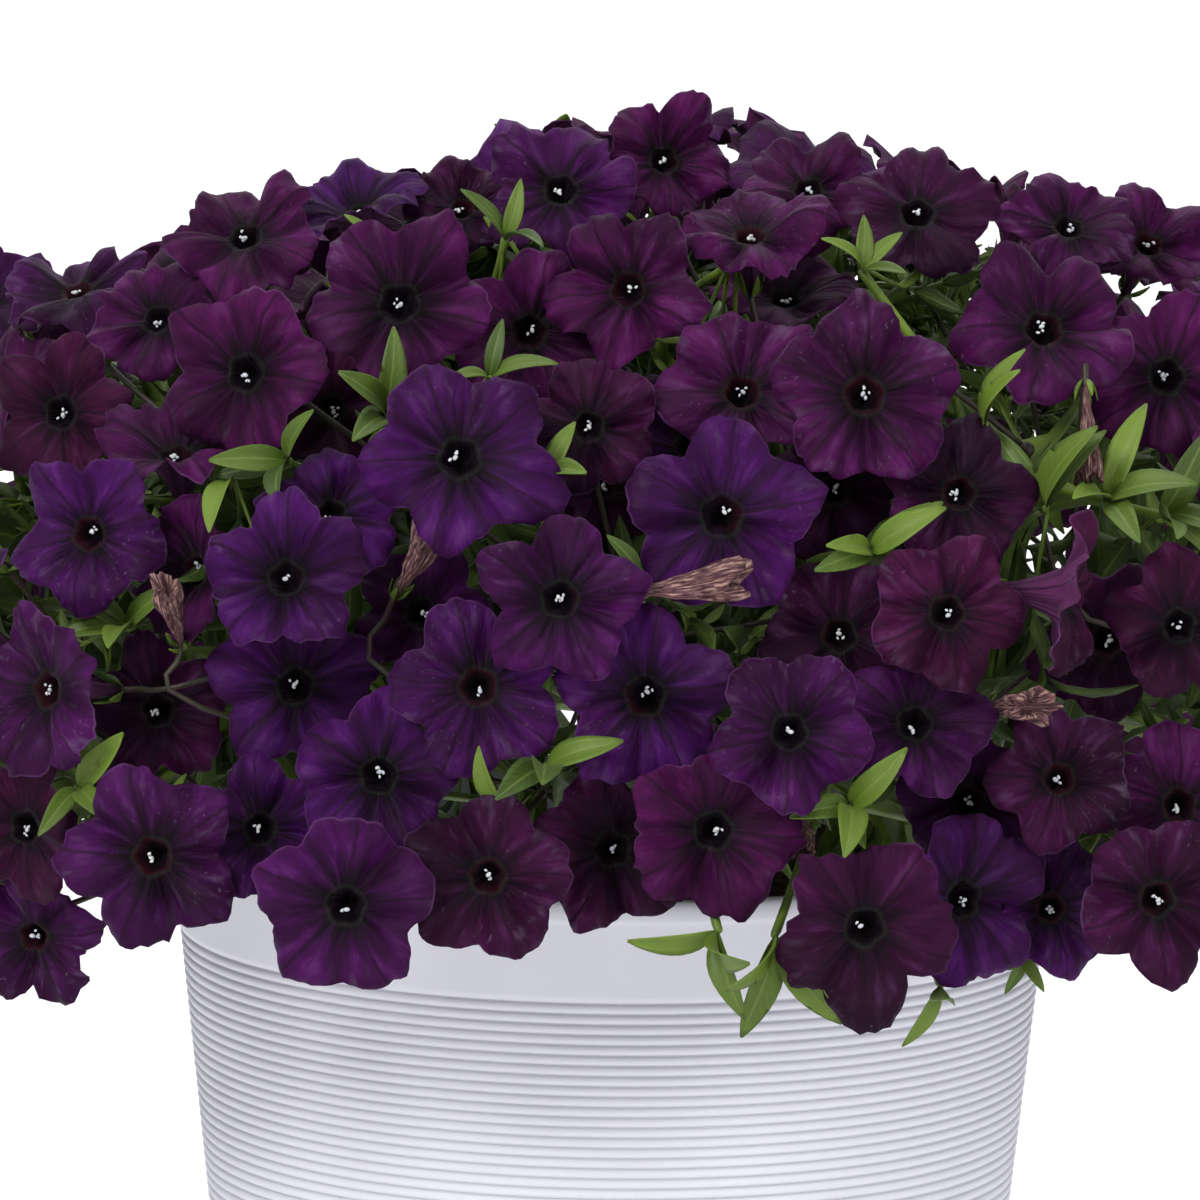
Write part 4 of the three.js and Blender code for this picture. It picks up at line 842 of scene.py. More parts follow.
class Limb:
    """The outline of a limb as smooth functions of the angle round it."""

    droop = 0.6 * MM
    crest_share = 0.872

    def __init__(self, bloom: BloomFrame, rng: random.Random) -> None:
        """Fits the outline to a bloom's edge.

        Args:
            bloom: The bloom.
            rng: Its own random numbers.
        """
        self.fine = len(bloom.edge) == FINE_CORNERS
        self.edge = bloom.edge
        self.notches: list[float] = []
        self.crests: list[float] = []
        self.tips: list[float] = []
        self.tilts: list[float] = []
        for lobe in range(LOBES):
            centre = 2 * math.pi * lobe / LOBES
            valley = centre - math.pi / LOBES
            notch = min(self.edge, key=lambda e, v=valley: abs(self.apart(e[0], v)))[1]
            near = [e[1] for e in self.edge if abs(self.apart(e[0], centre)) < 0.5]
            self.notches.append(notch * rng.uniform(0.74, 0.95))
            self.tips.append(rng.uniform(-0.06, 0.07))
            self.tilts.append(rng.uniform(-4.8, 4.8) * MM)
            crest = max(near) if near else notch / 0.87
            self.crests.append(notch + (crest - notch) / (self.crest_share if self.fine else 1.0))
        self.mean = sum(self.crests) / 5
        self.phases = [rng.uniform(0, 2 * math.pi) for _ in range(8)]
        self.frill = rng.uniform(0.5, 1.7) * MM
        self.ragged = rng.uniform(0.7, 1.8)
        self.curl = [rng.uniform(-0.4, 2.8) * MM for _ in range(5)]
        self.nicks = [rng.gauss(0.0, 0.010) for _ in range(FINE_STEPS if self.fine else PLAIN_STEPS)]

    @staticmethod
    def apart(a: float, b: float) -> float:
        """Gives the signed turn from one angle to another."""
        return (a - b + math.pi) % (2 * math.pi) - math.pi

    def lobe_at(self, angle: float) -> tuple[int, float]:
        """Gives the lobe at an angle, and how far the angle is from its middle, from -1 to 1."""
        lobe = round(angle / LOBE_TURN) % LOBES
        return lobe, self.apart(angle, 2 * math.pi * lobe / LOBES) / (math.pi / LOBES)

    def radius(self, angle: float) -> float:
        """Gives the limb's radius at an angle.

        Args:
            angle: The angle round the face.

        Returns:
            The radius in metres.
        """
        lobe, phase = self.lobe_at(angle)
        notch = self.notches[lobe] if phase < 0 else self.notches[(lobe + 1) % LOBES]
        crest = self.crests[lobe]
        pointed = crest / max(notch, 1e-6) > 1.22
        share = 1 - abs(phase) ** (1.6 if pointed else 2.5)
        jitter = 0.012 * math.sin(9 * angle + self.phases[0]) + 0.010 * math.sin(16 * angle + self.phases[1])
        jitter += 0.007 * math.sin(25 * angle + self.phases[6])
        jitter += self.nicks[int(angle / (2 * math.pi) * len(self.nicks)) % len(self.nicks)]
        tip = self.tips[lobe] * math.exp(-((phase / 0.16) ** 2))
        return (notch + (crest - notch) * share) * (1 + self.ragged * jitter + tip)

    def lift(self, angle: float) -> float:
        """Gives the height of the limb's edge over the throat at an angle.

        Args:
            angle: The angle round the face.

        Returns:
            The height in metres.
        """
        count = len(self.edge)
        after = next((k for k in range(count) if self.edge[k][0] > angle), 0)
        before = after - 1
        low, high = self.edge[before], self.edge[after]
        span = (high[0] - low[0]) % (2 * math.pi)
        t = ((angle - low[0]) % (2 * math.pi)) / span
        return curve_at(self.edge[before - 1][2], low[2], high[2], self.edge[(after + 1) % count][2], t)

    def ruffle(self, angle: float) -> float:
        """Gives the waves of the edge at an angle."""
        waves = 0.8 * math.sin(8 * angle + self.phases[2]) + 0.8 * math.sin(13 * angle + self.phases[3])
        return self.frill * (waves + 0.6 * math.sin(21 * angle + self.phases[7]))

    def roll(self, angle: float) -> float:
        """Gives how far the edge rolls back at an angle, most beside a lobe's middle."""
        lobe, phase = self.lobe_at(angle)
        return self.curl[lobe] * math.sin(math.pi * min(1.0, abs(phase))) ** 2 + self.droop

    def tilt(self, angle: float) -> float:
        """Gives how far a lobe stands forward of its neighbours at an angle."""
        lobe, phase = self.lobe_at(angle)
        return self.tilts[lobe] * math.cos(math.pi / 2 * phase) ** 2


@dataclass
class Bloom:
    """A trumpet bloom: five joined petals, a throat with its anthers, a tube, a calyx and a peduncle."""

    bloom: BloomFrame
    tone: Tone
    seed: int
    thickness: float = 0.5 * MM
    throat_radius: float = 5.3 * MM
    throat_height: float = -3.6 * MM
    pit: float = -14.0 * MM
    neck_radius: float = 7.6 * MM
    neck_height: float = -9.5 * MM
    tube_radius: float = 1.9 * MM
    stalk_radius: float = 1.0 * MM
    sepal_length: float = 12.5 * MM
    tube_profile: Profile = ((0.0, 0.22), (0.3, 0.30), (0.6, 0.48), (0.85, 0.74), (1.0, 0.94))
    throat_profile: Profile = ((0.0, 1.0), (0.25, 0.86), (0.6, 0.62), (0.9, 0.34))
    wilted_steps: int = 36
    wilted_profile: Profile = (
        (0.0, 0.22), (0.15, 0.32), (0.3, 0.42), (0.42, 0.66), (0.55, 0.72), (0.68, 0.80),
        (0.8, 0.98), (0.92, 1.10), (1.0, 1.04), (0.97, 0.88), (0.9, 0.6), (0.82, 0.3),
    )
    rng: random.Random = field(init=False)

    def __post_init__(self) -> None:
        """Starts the bloom's own random numbers."""
        self.rng = random.Random(self.seed)

    @property
    def spent(self) -> bool:
        """Whether the bloom has wilted, which its steep edge shows."""
        mean_lift = sum(e[2] for e in self.bloom.edge) / len(self.bloom.edge)
        mean_radius = sum(e[1] for e in self.bloom.edge) / len(self.bloom.edge)
        return mean_lift > 1.2 * mean_radius

    def marks(self) -> Vector:
        """Gives the tone attribute of the petals."""
        hue, dark = TONE_MARKS[self.tone]
        hue, dark = hue + self.rng.uniform(-0.08, 0.08), dark + self.rng.uniform(-0.05, 0.08)
        return Vector((hue, dark, self.rng.uniform(0, 9)))

    def limb_point(self, limb: Limb, angle: float, out: float, below: float) -> tuple[float, float, float]:
        """Places a point of the limb.

        Args:
            limb: The limb's outline.
            angle: The angle round the face.
            out: The share of the way from the throat to the edge.
            below: How far under the petal's face it lies.

        Returns:
            The point in the bloom's own frame.
        """
        scale = self.bloom.scale
        inner, low = self.throat_radius * scale, self.throat_height * scale
        edge = limb.radius(angle)
        radius = inner + (edge - inner) * out
        rise = 1 - (1 - out) ** 1.7
        height = low + (limb.lift(angle) - low) * rise
        body = 4 * out * (1 - out)
        height += 2.1 * MM * body * math.cos(5 * angle) + limb.tilt(angle) * out ** 1.5
        seam = abs(math.sin(2.5 * angle)) * radius / 2.5
        height -= 0.6 * MM * math.exp(-((seam / (1.3 * MM)) ** 2)) * min(1.0, 3 * out)
        fold = abs(math.cos(2.5 * angle)) * radius / 2.5
        height -= 1.9 * MM * math.exp(-((fold / (2.4 * MM)) ** 2)) * min(1.0, 1.6 * out)
        broad = 1.5 * MM * body * math.sin(3 * angle + limb.phases[4])
        height += broad + 1.3 * MM * out * math.sin(6 * angle + limb.phases[5])
        height += 2.3 * MM * out * out * math.sin(2 * angle + limb.phases[0])
        height += 0.35 * MM * out * math.sin(11 * angle + 5 * out + limb.phases[1])
        height += limb.ruffle(angle) * (0.25 * out + 0.75 * out ** 3.5)
        height -= limb.roll(angle) * max(0.0, out - 0.72) ** 2 / 0.0784
        return radius * math.cos(angle), radius * math.sin(angle), height - below

    def rows(self, limb: Limb) -> Iterator[tuple[Ring, float, SprayPart]]:
        """Gives the rings of a fresh bloom from its tube's end over the edge into the throat.

        Args:
            limb: The limb's outline.

        Yields:
            A function from the angle to a point, the share of the way to the edge, and the surface.
        """
        scale = self.bloom.scale
        end = (self.bloom.tube_end - self.bloom.place).dot(self.bloom.face)
        neck = self.neck_height * scale

        def tube(radius: float, height: float) -> Ring:
            """Gives a ring of the tube, faintly folded along the petals' seams."""

            def ring(angle: float) -> tuple[float, float, float]:
                """Gives the ring's point at an angle."""
                folded = radius * (1 + 0.05 * math.cos(LOBES * angle))
                return folded * math.cos(angle), folded * math.sin(angle), height

            return ring

        wide = self.neck_radius * scale
        for share, size in self.tube_profile:
            yield tube(max(self.tube_radius, wide * size), end + (neck - end) * share), 0.0, SprayPart.OUTSIDE
        steps = 8 if limb.fine else 5
        for k in range(1, steps + 1):
            out = 0.13 + 0.87 * (k / steps) ** 0.9
            thin = self.thickness * (1 + 3.5 * (1 - out) ** 2)
            yield (lambda a, o=out, t=thin: self.limb_point(limb, a, o, t)), out, SprayPart.OUTSIDE
        for k in range(steps + 1, 0, -1):
            out = (k / (steps + 1)) ** 0.95
            yield (lambda a, o=out: self.limb_point(limb, a, o, 0.0)), out, SprayPart.FACE
        inner, low = self.throat_radius * scale, self.throat_height * scale
        for share, size in self.throat_profile:
            yield tube(inner * size, low + (self.pit * scale - low) * share), 0.0, SprayPart.FACE

    def petals(self) -> Mesh:
        """Makes the petals and tube of a fresh bloom.

        Returns:
            The geometry.
        """
        limb = Limb(self.bloom, self.rng)
        count = FINE_STEPS if limb.fine else PLAIN_STEPS
        angles = [2 * math.pi * (k + 0.5) / count for k in range(count)]
        skin = RingSkin(count)
        for ring, out, part in self.rows(limb):
            points, marks = [], []
            for angle in angles:
                x, y, z = ring(angle)
                points.append(self.bloom.point(x, y, z))
                marks.append(Vector((x / limb.mean, y / limb.mean, out)))
            skin.grow(points, marks, part.value)
        skin.shut(self.bloom.point(0, 0, self.pit * self.bloom.scale))
        return skin.mesh

    def wilted(self) -> Mesh:
        """Makes a spent bloom, folded to a twisted wrinkled cone.

        Returns:
            The geometry.
        """
        bloom = self.bloom
        count = self.wilted_steps
        end = (bloom.tube_end - bloom.place).dot(bloom.face)
        top = sum(e[2] for e in bloom.edge) / len(bloom.edge)
        width = sum(e[1] for e in bloom.edge) / len(bloom.edge)
        skin = RingSkin(count)
        shift = [self.rng.uniform(0, 6) for _ in range(3)]
        for share, size in self.wilted_profile:
            height = end + (top - end) * share
            points, marks = [], []
            for k in range(count):
                angle = 2 * math.pi * k / count
                fold = 0.22 * math.sin(5 * angle + 4 * share + shift[0])
                fold += 0.14 * math.sin(9 * angle - 5 * share + shift[1])
                radius = max(1.2 * MM, width * size * (1 + fold * min(1.0, 1.6 * share)))
                sway = width * 0.35 * math.sin(3 * share + shift[2]) * share
                ragged = top * 0.16 * math.sin(3 * angle + shift[1]) * max(0.0, share - 0.75) * 4
                x, y = radius * math.cos(angle) + sway, radius * 0.75 * math.sin(angle)
                points.append(bloom.point(x, y, height + ragged))
                marks.append(Vector((math.cos(angle), math.sin(angle), share * 3)))
            skin.grow(points, marks, SprayPart.FADED.value)
        skin.shut(bloom.point(0, 0, end + (top - end) * 0.8))
        return skin.mesh

    def stalk(self) -> Mesh:
        """Makes the peduncle, from the fork to the base of the tube.

        Returns:
            The geometry.
        """
        path = self.bloom.path[::-1]
        points = smooth_path(cut_corners([*path, path[-1] + self.bloom.face * 3 * MM]), 2)
        part = SprayPart.PEDUNCLE.value
        return tube_along(points, lambda t: self.stalk_radius * (1 + 0.35 * t * t), 6, part)

    def calyx(self) -> Iterator[Mesh]:
        """Makes the five narrow sepals that hold the tube.

        Yields:
            The geometry of each.
        """
        bloom = self.bloom
        length = self.sepal_length * min(1.0, bloom.scale)
        for k in range(LOBES):
            turn = 2 * math.pi * k / LOBES + 0.3
            outward = around(bloom.across, bloom.up, turn)
            along = around(bloom.face, outward, self.rng.uniform(0.25, 0.6)).normalized()
            start = bloom.tube_end - bloom.face * 0.5 * MM + outward * 1.2 * MM
            top = (outward - along * outward.dot(along)).normalized()
            yield LeafShape(start, along, top, length, 0.26, 0.4).build((4, 2), SprayPart.CALYX.value)

    def anthers(self) -> Iterator[Mesh]:
        """Makes the anthers and the stigma in the throat.

        Yields:
            The geometry of each.
        """
        bloom = self.bloom
        turn = self.rng.uniform(0, 6)
        shift = self.rng.uniform(0.3, 1.5) * MM
        middle = (shift * math.cos(turn), shift * math.sin(turn))
        for k in range(self.rng.choice((3, 4, 4, 5))):
            angle = self.rng.uniform(0, 2 * math.pi)
            away = 0.0 if k == 0 else self.rng.uniform(1.0, 2.0) * MM
            radius = (1.05 if k == 0 else self.rng.uniform(0.55, 0.8)) * MM
            size = Matrix.Diagonal((1.0, self.rng.uniform(0.6, 0.9), 0.7, 1.0))
            spin = Matrix.Rotation(self.rng.uniform(0, 6), 4, bloom.face)
            deep = self.rng.uniform(-4.6, -2.4) * MM
            spot = (middle[0] + away * math.cos(angle), middle[1] + away * math.sin(angle), deep)
            place = Matrix.Translation(bloom.point(*spot)) @ spin @ size
            yield ball(2 if len(bloom.edge) == FINE_CORNERS else 1, radius, place, SprayPart.ANTHER.value)

    def parts(self) -> Iterator[Mesh]:
        """Makes all of the bloom.

        Yields:
            The geometry of each part.
        """
        yield self.stalk()
        if self.spent:
            yield self.wilted()
        else:
            yield self.petals()
            yield from self.anthers()
        yield from self.calyx()


def cut_corners(points: Sequence[Vector], share: float = 0.28) -> list[Vector]:
    """Cuts the corners of a path.

    Args:
        points: The path's corners.
        share: How much of each stretch is cut at either end.

    Returns:
        The path with two points for each corner.
    """
    cut = [points[0].copy()]
    for before, corner, after in zip(points, points[1:], points[2:]):
        cut += [corner.lerp(before, share), corner.lerp(after, share)]
    return [*cut, points[-1].copy()]


def smooth_path(points: Sequence[Vector], steps: int) -> list[Vector]:
    """Rounds the corners of a path.

    Args:
        points: The path's corners.
        steps: The number of points for each stretch.

    Returns:
        Points on a smooth curve through the corners.
    """
    full = [2 * points[0] - points[1], *points, 2 * points[-1] - points[-2]]
    smooth = []
    for k in range(1, len(full) - 2):
        smooth += [curve_at(*full[k - 1:k + 3], step / steps) for step in range(steps)]
    return [*smooth, points[-1].copy()]


def tube_along(points: Sequence[Vector], radius: Callable[[float], float], count: int, part: int) -> Mesh:
    """Makes a closed round tube along a path.

    Args:
        points: The path.
        radius: Its radius at a share of the way along it.
        count: The number of points round it.
        part: The material slot of its faces.

    Returns:
        The geometry.
    """
    skin = RingSkin(count)
    side: Vector | None = None
    for k, point in enumerate(points):
        ahead, behind = points[min(k + 1, len(points) - 1)], points[max(k - 1, 0)]
        axis = (ahead - behind).normalized()
        side = square_axes(axis)[0] if side is None else (side - axis * side.dot(axis)).normalized()
        other = axis.cross(side)
        size = radius(k / (len(points) - 1))
        ring = [point + around(side, other, 2 * math.pi * n / count) * size for n in range(count)]
        skin.grow(ring, [Vector((0.0, 0.0, k * MM))] * count, part)
    skin.shut(points[-1] + (points[-1] - points[-2]).normalized() * radius(1.0) * 0.4)
    return skin.mesh


@dataclass
class LeafShape:
    """A thin arched blade with a folded midrib and a pointed tip."""

    start: Vector
    along: Vector
    top: Vector
    length: float
    width: float = 0.36
    arch: float = 1.0
    thickness: float = 0.45 * MM
    age: float = 0.5
    bend: float = 0.0
    twist: float = 0.0

    def spread(self, x: float) -> float:
        """Gives the half width at a share of the length, as a share of the full half width."""
        body = math.sin(math.pi * min(1.0, x) ** 0.82) ** 0.75 if 0 < x < 1 else 0.0
        return max(0.035, body) if x < 0.5 else body

    def build(self, grid: tuple[int, int], part: int) -> Mesh:
        """Makes the blade.

        Args:
            grid: The number of faces along and across it.
            part: The material slot of its faces.

        Returns:
            The geometry.
        """
        mesh = bmesh.new()
        mark = mesh.verts.layers.float_vector.new("leaf")
        bmesh.ops.create_grid(mesh, x_segments=grid[0], y_segments=grid[1], size=1.0)
        side = self.top.cross(self.along).normalized()
        top = self.along.cross(side).normalized()
        for vertex in mesh.verts:
            x, y = (vertex.co.x + 1) / 2, vertex.co.y
            half = self.width * self.length / 2 * self.spread(x * 0.985)
            rise = self.arch * self.length * (0.34 * x * (1 - x) * (1.1 - x * 0.4) - 0.06 * x * x)
            rise += half * 0.42 * abs(y) ** 1.4
            turn = self.twist * x
            across = around(side, top, turn)
            over = top * math.cos(turn) - side * math.sin(turn)
            vertex[mark] = (y, x, self.age)
            spot = self.start + self.along * self.length * x + across * half * y + over * rise
            vertex.co = spot + side * self.bend * self.length * x * x
        bmesh.ops.solidify(mesh, geom=mesh.faces[:], thickness=self.thickness)
        bmesh.ops.remove_doubles(mesh, verts=mesh.verts, dist=0.01 * MM)
        bmesh.ops.recalc_face_normals(mesh, faces=mesh.faces)
        return paint(mesh, part)


class Assembly:
    """A piece gathered from many small meshes."""

    def __init__(self) -> None:
        """Starts an empty piece."""
        self.mesh = bmesh.new()
        for name in ("petal", "tone", "leaf"):
            self.mesh.verts.layers.float_vector.new(name)
        self.mesh.verts.layers.int.new("slot")
        self.scratch = bpy.data.meshes.new("scratch")

    def add(self, mesh: Mesh, tone: Vector | None = None) -> None:
        """Adds a mesh.

        Args:
            mesh: The geometry, which is freed.
            tone: The tone attribute for all of it.
        """
        if tone is not None:
            layer = mesh.verts.layers.float_vector.new("tone")
            for vertex in mesh.verts:
                vertex[layer] = tone
        mesh.to_mesh(self.scratch)
        mesh.free()
        self.mesh.from_mesh(self.scratch)

    def finish(self, name: str, materials: Sequence[bpy.types.Material]) -> bpy.types.Object:
        """Makes the piece.

        Args:
            name: The piece's name.
            materials: Its materials.

        Returns:
            The object.
        """
        bpy.data.meshes.remove(self.scratch)
        self.mesh.verts.layers.int.remove(self.mesh.verts.layers.int["slot"])
        return new_piece(name, self.mesh, materials)


@dataclass
class Sprays:
    """The sprays of blooms, each in place of its CAD node."""

    palette: Palette
    viewpoint: Viewpoint
    knob_radius: float = 2.6 * MM
    match_pixels: float = 26.0

    def tone_of(self, bloom: BloomFrame, rng: random.Random) -> Tone:
        """Picks a bloom's tone.

        Args:
            bloom: The bloom.
            rng: Random numbers for a bloom that the photograph doesn't show.

        Returns:
            The tone.
        """
        px, py = self.viewpoint.pixel(bloom.place)
        best, tone = self.match_pixels, None
        if len(bloom.edge) == FINE_CORNERS:
            for name, pixels in BLOOM_TONES.items():
                for x, y in pixels:
                    away = math.hypot(px - x, py - y)
                    if away < best:
                        best, tone = away, name
        return tone or rng.choices(list(Tone), weights=HIDDEN_SHARES)[0]

    def build(self) -> list[BloomFrame]:
        """Makes every spray.

        Returns:
            All the blooms.
        """
        blooms = []
        for name in sorted(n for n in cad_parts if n.startswith("spray_")):
            rng = random.Random(name)
            piece = Assembly()
            found = SprayReader(name).read()
            forks = []
            for number, bloom in enumerate(found):
                made = Bloom(bloom, self.tone_of(bloom, rng), rng.randrange(1 << 30) + number)
                marks = made.marks()
                for part in made.parts():
                    piece.add(part, marks)
                if all((bloom.path[-1] - fork).length > 1 * MM for fork in forks):
                    forks.append(bloom.path[-1])
            for fork in forks:
                piece.add(ball(2, self.knob_radius, Matrix.Translation(fork), SprayPart.PEDUNCLE.value))
            made_piece = piece.finish(f"{name}_blooms", self.palette.spray())
            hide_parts(name)
            blooms += found
            faces = len(made_piece.data.polygons)
            LOG.info("%s: %d blooms, %d forks, %d faces", name, len(found), len(forks), faces)
        return blooms


@dataclass
class Pot:
    """The round pot: fine rounded ribs, a smooth collar, a lip, and an open top."""

    material: bpy.types.Material
    height: float = 270 * MM
    groove_radius: float = 150 * MM
    first_groove: float = 234 * MM
    taper: float = 0.109
    pitch: float = 3.6 * MM
    rib: float = 1.25 * MM
    collar: float = 152 * MM
    lip: float = 156 * MM
    wall: float = 3.2 * MM
    floor: float = 4 * MM
    steps: int = 96

    def side(self, height: float) -> float:
        """Gives the radius at a groove of a height."""
        return self.groove_radius - self.taper * (self.first_groove - height)

    def profile(self) -> list[tuple[float, float]]:
        """Gives the pot's section from the middle of its base to the middle of its floor."""
        count = round(self.first_groove / self.pitch)
        points = [(0.0, 0.0), (self.side(0) - 3 * MM, 0.0), (self.side(0) - 0.6 * MM, 0.7 * MM)]
        for rib in range(count):
            low = self.first_groove * rib / count
            step = self.first_groove / count
            if rib > 0:
                points.append((self.side(low), low))
            for share, bulge in ((0.13, 0.62), (0.38, 1.0), (0.62, 1.0), (0.87, 0.62)):
                height = low + step * share
                points.append((self.side(height) + self.rib * bulge, height))
        lip_foot = self.height - 7 * MM
        points += [
            (self.side(self.first_groove), self.first_groove),
            (self.collar - 0.4 * MM, self.first_groove + 1.2 * MM),
            (self.collar, self.first_groove + 3 * MM),
            (self.collar + 2 * MM, lip_foot - 2 * MM),
            (self.lip - 0.7 * MM, lip_foot - 0.4 * MM),
            (self.lip, lip_foot + 0.6 * MM),
            (self.lip, self.height - 2.2 * MM),
            (self.lip - 0.7 * MM, self.height - 0.6 * MM),
            (self.lip - 2 * MM, self.height),
            (self.side(self.height) - self.wall + 0.6 * MM, self.height),
            (self.side(self.height) - self.wall, self.height - 0.8 * MM),
            (self.side(self.floor) - self.wall - 1.3 * MM, self.floor),
            (0.0, self.floor),
        ]
        return points

    def build(self) -> bpy.types.Object:
        """Spins the section into the pot.

        Returns:
            The pot.
        """
        mesh = bmesh.new()
        points = [mesh.verts.new((radius, 0.0, height)) for radius, height in self.profile()]
        edges = [mesh.edges.new(pair) for pair in zip(points, points[1:])]
        bmesh.ops.spin(
            mesh, geom=[*points, *edges], axis=UP, cent=(0, 0, 0), angle=2 * math.pi, steps=self.steps,
            use_merge=True, use_duplicate=False)
        bmesh.ops.remove_doubles(mesh, verts=mesh.verts, dist=0.01 * MM)
        bmesh.ops.recalc_face_normals(mesh, faces=mesh.faces)
        piece = new_piece("pot_shell", mesh, [self.material])
        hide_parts("pot")
        return piece


@dataclass
class Soil:
    """The potting mix: its CAD body with a better surface, and loose crumbs on top."""

    material: bpy.types.Material
    crumbs: int = 320
    reach: float = 138 * MM
    level: float = 250.5 * MM
    crown: float = 4 * MM

    def build(self) -> bpy.types.Object:
        """Dresses the soil.

        Returns:
            The crumbs.
        """
        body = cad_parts["soil"]
        for slot in body.material_slots:
            slot.material = self.material
        rng = random.Random(5)
        piece = Assembly()
        for _ in range(self.crumbs):
            away = self.reach * math.sqrt(rng.random())
            turn = rng.uniform(0, 2 * math.pi)
            size = rng.uniform(0.8, 2.6) * MM
            height = self.level + self.crown * (1 - (away / self.reach) ** 2) * 0.9
            shape = Matrix.Diagonal((size * rng.uniform(0.7, 1.5), size, size * rng.uniform(0.4, 0.9), 1.0))
            spin = Matrix.Rotation(rng.uniform(0, 6), 4, "Z")
            place = Matrix.Translation((away * math.cos(turn), away * math.sin(turn), height))
            piece.add(ball(1, 1.0, place @ spin @ shape))
        made = piece.finish("soil_crumbs", [self.material])
        return made


@dataclass
class LeafFrame:
    """One leaf as its CAD node holds it."""

    base: Vector
    along: Vector
    top: Vector
    length: float
    corners: set[int]


@dataclass
class Stems:
    """The stems with their branches, twigs and leaves, each in place of its CAD node."""

    palette: Palette
    places: Sequence[Vector]
    leaf_thick: float = 1.6 * MM
    leaf_width: float = 0.36
    swell: float = 0.55 * MM

    def leaf_at(self, tip: Corner) -> LeafFrame | None:
        """Reads a leaf from its tip.

        Args:
            tip: A corner of the node.

        Returns:
            The leaf, or None where the corner is another one.
        """
        if len(tip.link_edges) != 4:
            return None
        ring = [edge.other_vert(tip) for edge in tip.link_edges]
        pairs = [(a, b) for n, a in enumerate(ring) for b in ring[n + 1:]]
        pairs = [(a, b) for a, b in pairs if abs((a.co - b.co).length - self.leaf_thick) < 0.03 * MM]
        if len(pairs) != 1:
            return None
        thin = pairs[0]
        left, right = (v for v in ring if v not in thin)
        middle = (left.co + right.co) / 2
        high, low = sorted(thin, key=lambda v: (v.co - middle).length)
        if abs((high.co - middle).length - 0.1 * MM) > 0.08 * MM:
            return None
        top = (high.co - low.co).normalized()
        side = (right.co - left.co).normalized()
        along = side.cross(top).normalized()
        spine = (high.co + low.co) / 2
        if (tip.co - spine).dot(along) < 0:
            along = -along
        width = (left.co - right.co).length
        short = (tip.co - spine).dot(along) / width > 1.1
        length = width / (self.leaf_width if short else 0.92 * self.leaf_width)
        share, rise = (0.52, 0.09) if short else (0.72, 0.07)
        base = spine - along * share * length - top * rise * length
        corners = {tip.index, *(v.index for v in ring)}
        if not short:
            for vertex in ring:
                corners |= {e.other_vert(vertex).index for e in vertex.link_edges}
        return LeafFrame(base, along, top, length, corners)

    def read(self, node: str) -> tuple[list[LeafFrame], Mesh]:
        """Reads a stem's node.

        Args:
            node: The node's name.

        Returns:
            Its leaves, and the rest of it as an open mesh closed where the leaves were.
        """
        mesh = bmesh.new()
        mesh.from_mesh(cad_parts[node].data)
        bmesh.ops.remove_doubles(mesh, verts=mesh.verts, dist=WELD)
        mesh.verts.index_update()
        leaves = [leaf for leaf in (self.leaf_at(vertex) for vertex in mesh.verts) if leaf]
        gone = set().union(*(leaf.corners for leaf in leaves)) if leaves else set()
        bmesh.ops.delete(mesh, geom=[v for v in mesh.verts if v.index in gone], context="VERTS")
        bmesh.ops.holes_fill(mesh, edges=mesh.edges, sides=0)
        return leaves, mesh

    def rods(self, mesh: Mesh) -> Mesh:
        """Rounds the branches and brings them back to their full girth.

        Args:
            mesh: The angular branches.

        Returns:
            The round ones.
        """
        data = bpy.data.meshes.new("rods")
        mesh.to_mesh(data)
        mesh.free()
        holder = bpy.data.objects.new("rods", data)
        bpy.context.scene.collection.objects.link(holder)
        rounding = holder.modifiers.new("round", "SUBSURF")
        rounding.levels = rounding.render_levels = 1
        graph = bpy.context.evaluated_depsgraph_get()
        smooth = bpy.data.meshes.new_from_object(holder.evaluated_get(graph))
        bpy.data.objects.remove(holder)
        result = bmesh.new()
        result.from_mesh(smooth)
        bpy.data.meshes.remove(smooth)
        result.normal_update()
        for vertex in result.verts:
            vertex.co += vertex.normal * self.swell
        return paint(result, 1)

    def gather(self) -> dict[str, tuple[list[LeafFrame], Mesh]]:
        """Reads every stem.

        Returns:
            Each stem's leaves and branches under its node's name.
        """
        return {name: self.read(name) for name in sorted(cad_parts) if name.startswith("stem_")}

    def build(self) -> None:
        """Makes every stem."""
        stems = self.gather()
        growth = Undergrowth(self.places, {name: branches for name, (_, branches) in stems.items()})
        sprigs = growth.build()
        for name, (leaves, branches) in stems.items():
            rng = random.Random(name)
            piece = Assembly()
            for leaf in leaves:
                shape = LeafShape(
                    leaf.base, leaf.along, leaf.top, leaf.length, width=rng.uniform(0.27, 0.34),
                    arch=rng.uniform(0.8, 1.5), age=rng.uniform(0.0, 0.8), bend=rng.uniform(-0.06, 0.06),
                    twist=rng.uniform(-0.35, 0.35))
                piece.add(shape.build((9, 5), 0))
            for part in sprigs[name]:
                piece.add(part)
            piece.add(self.rods(branches))
            made = piece.finish(f"{name}_leafy", [self.palette.leaf, self.palette.stem])
            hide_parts(name)
            counts = len(leaves), len(sprigs[name]), len(made.data.polygons)
            LOG.info("%s: %d leaves, %d parts of sprigs, %d faces", name, *counts)


@dataclass(frozen=True)
class SprigKind:
    """A kind of sprig, by how far out its tips are, how large its leaves are and how pale they may be; the
    deeper kinds' darker leaves are painted shade.
    """

    count: int
    low: float
    high: float
    size: float
    spare: float
    youth_and_shade: float


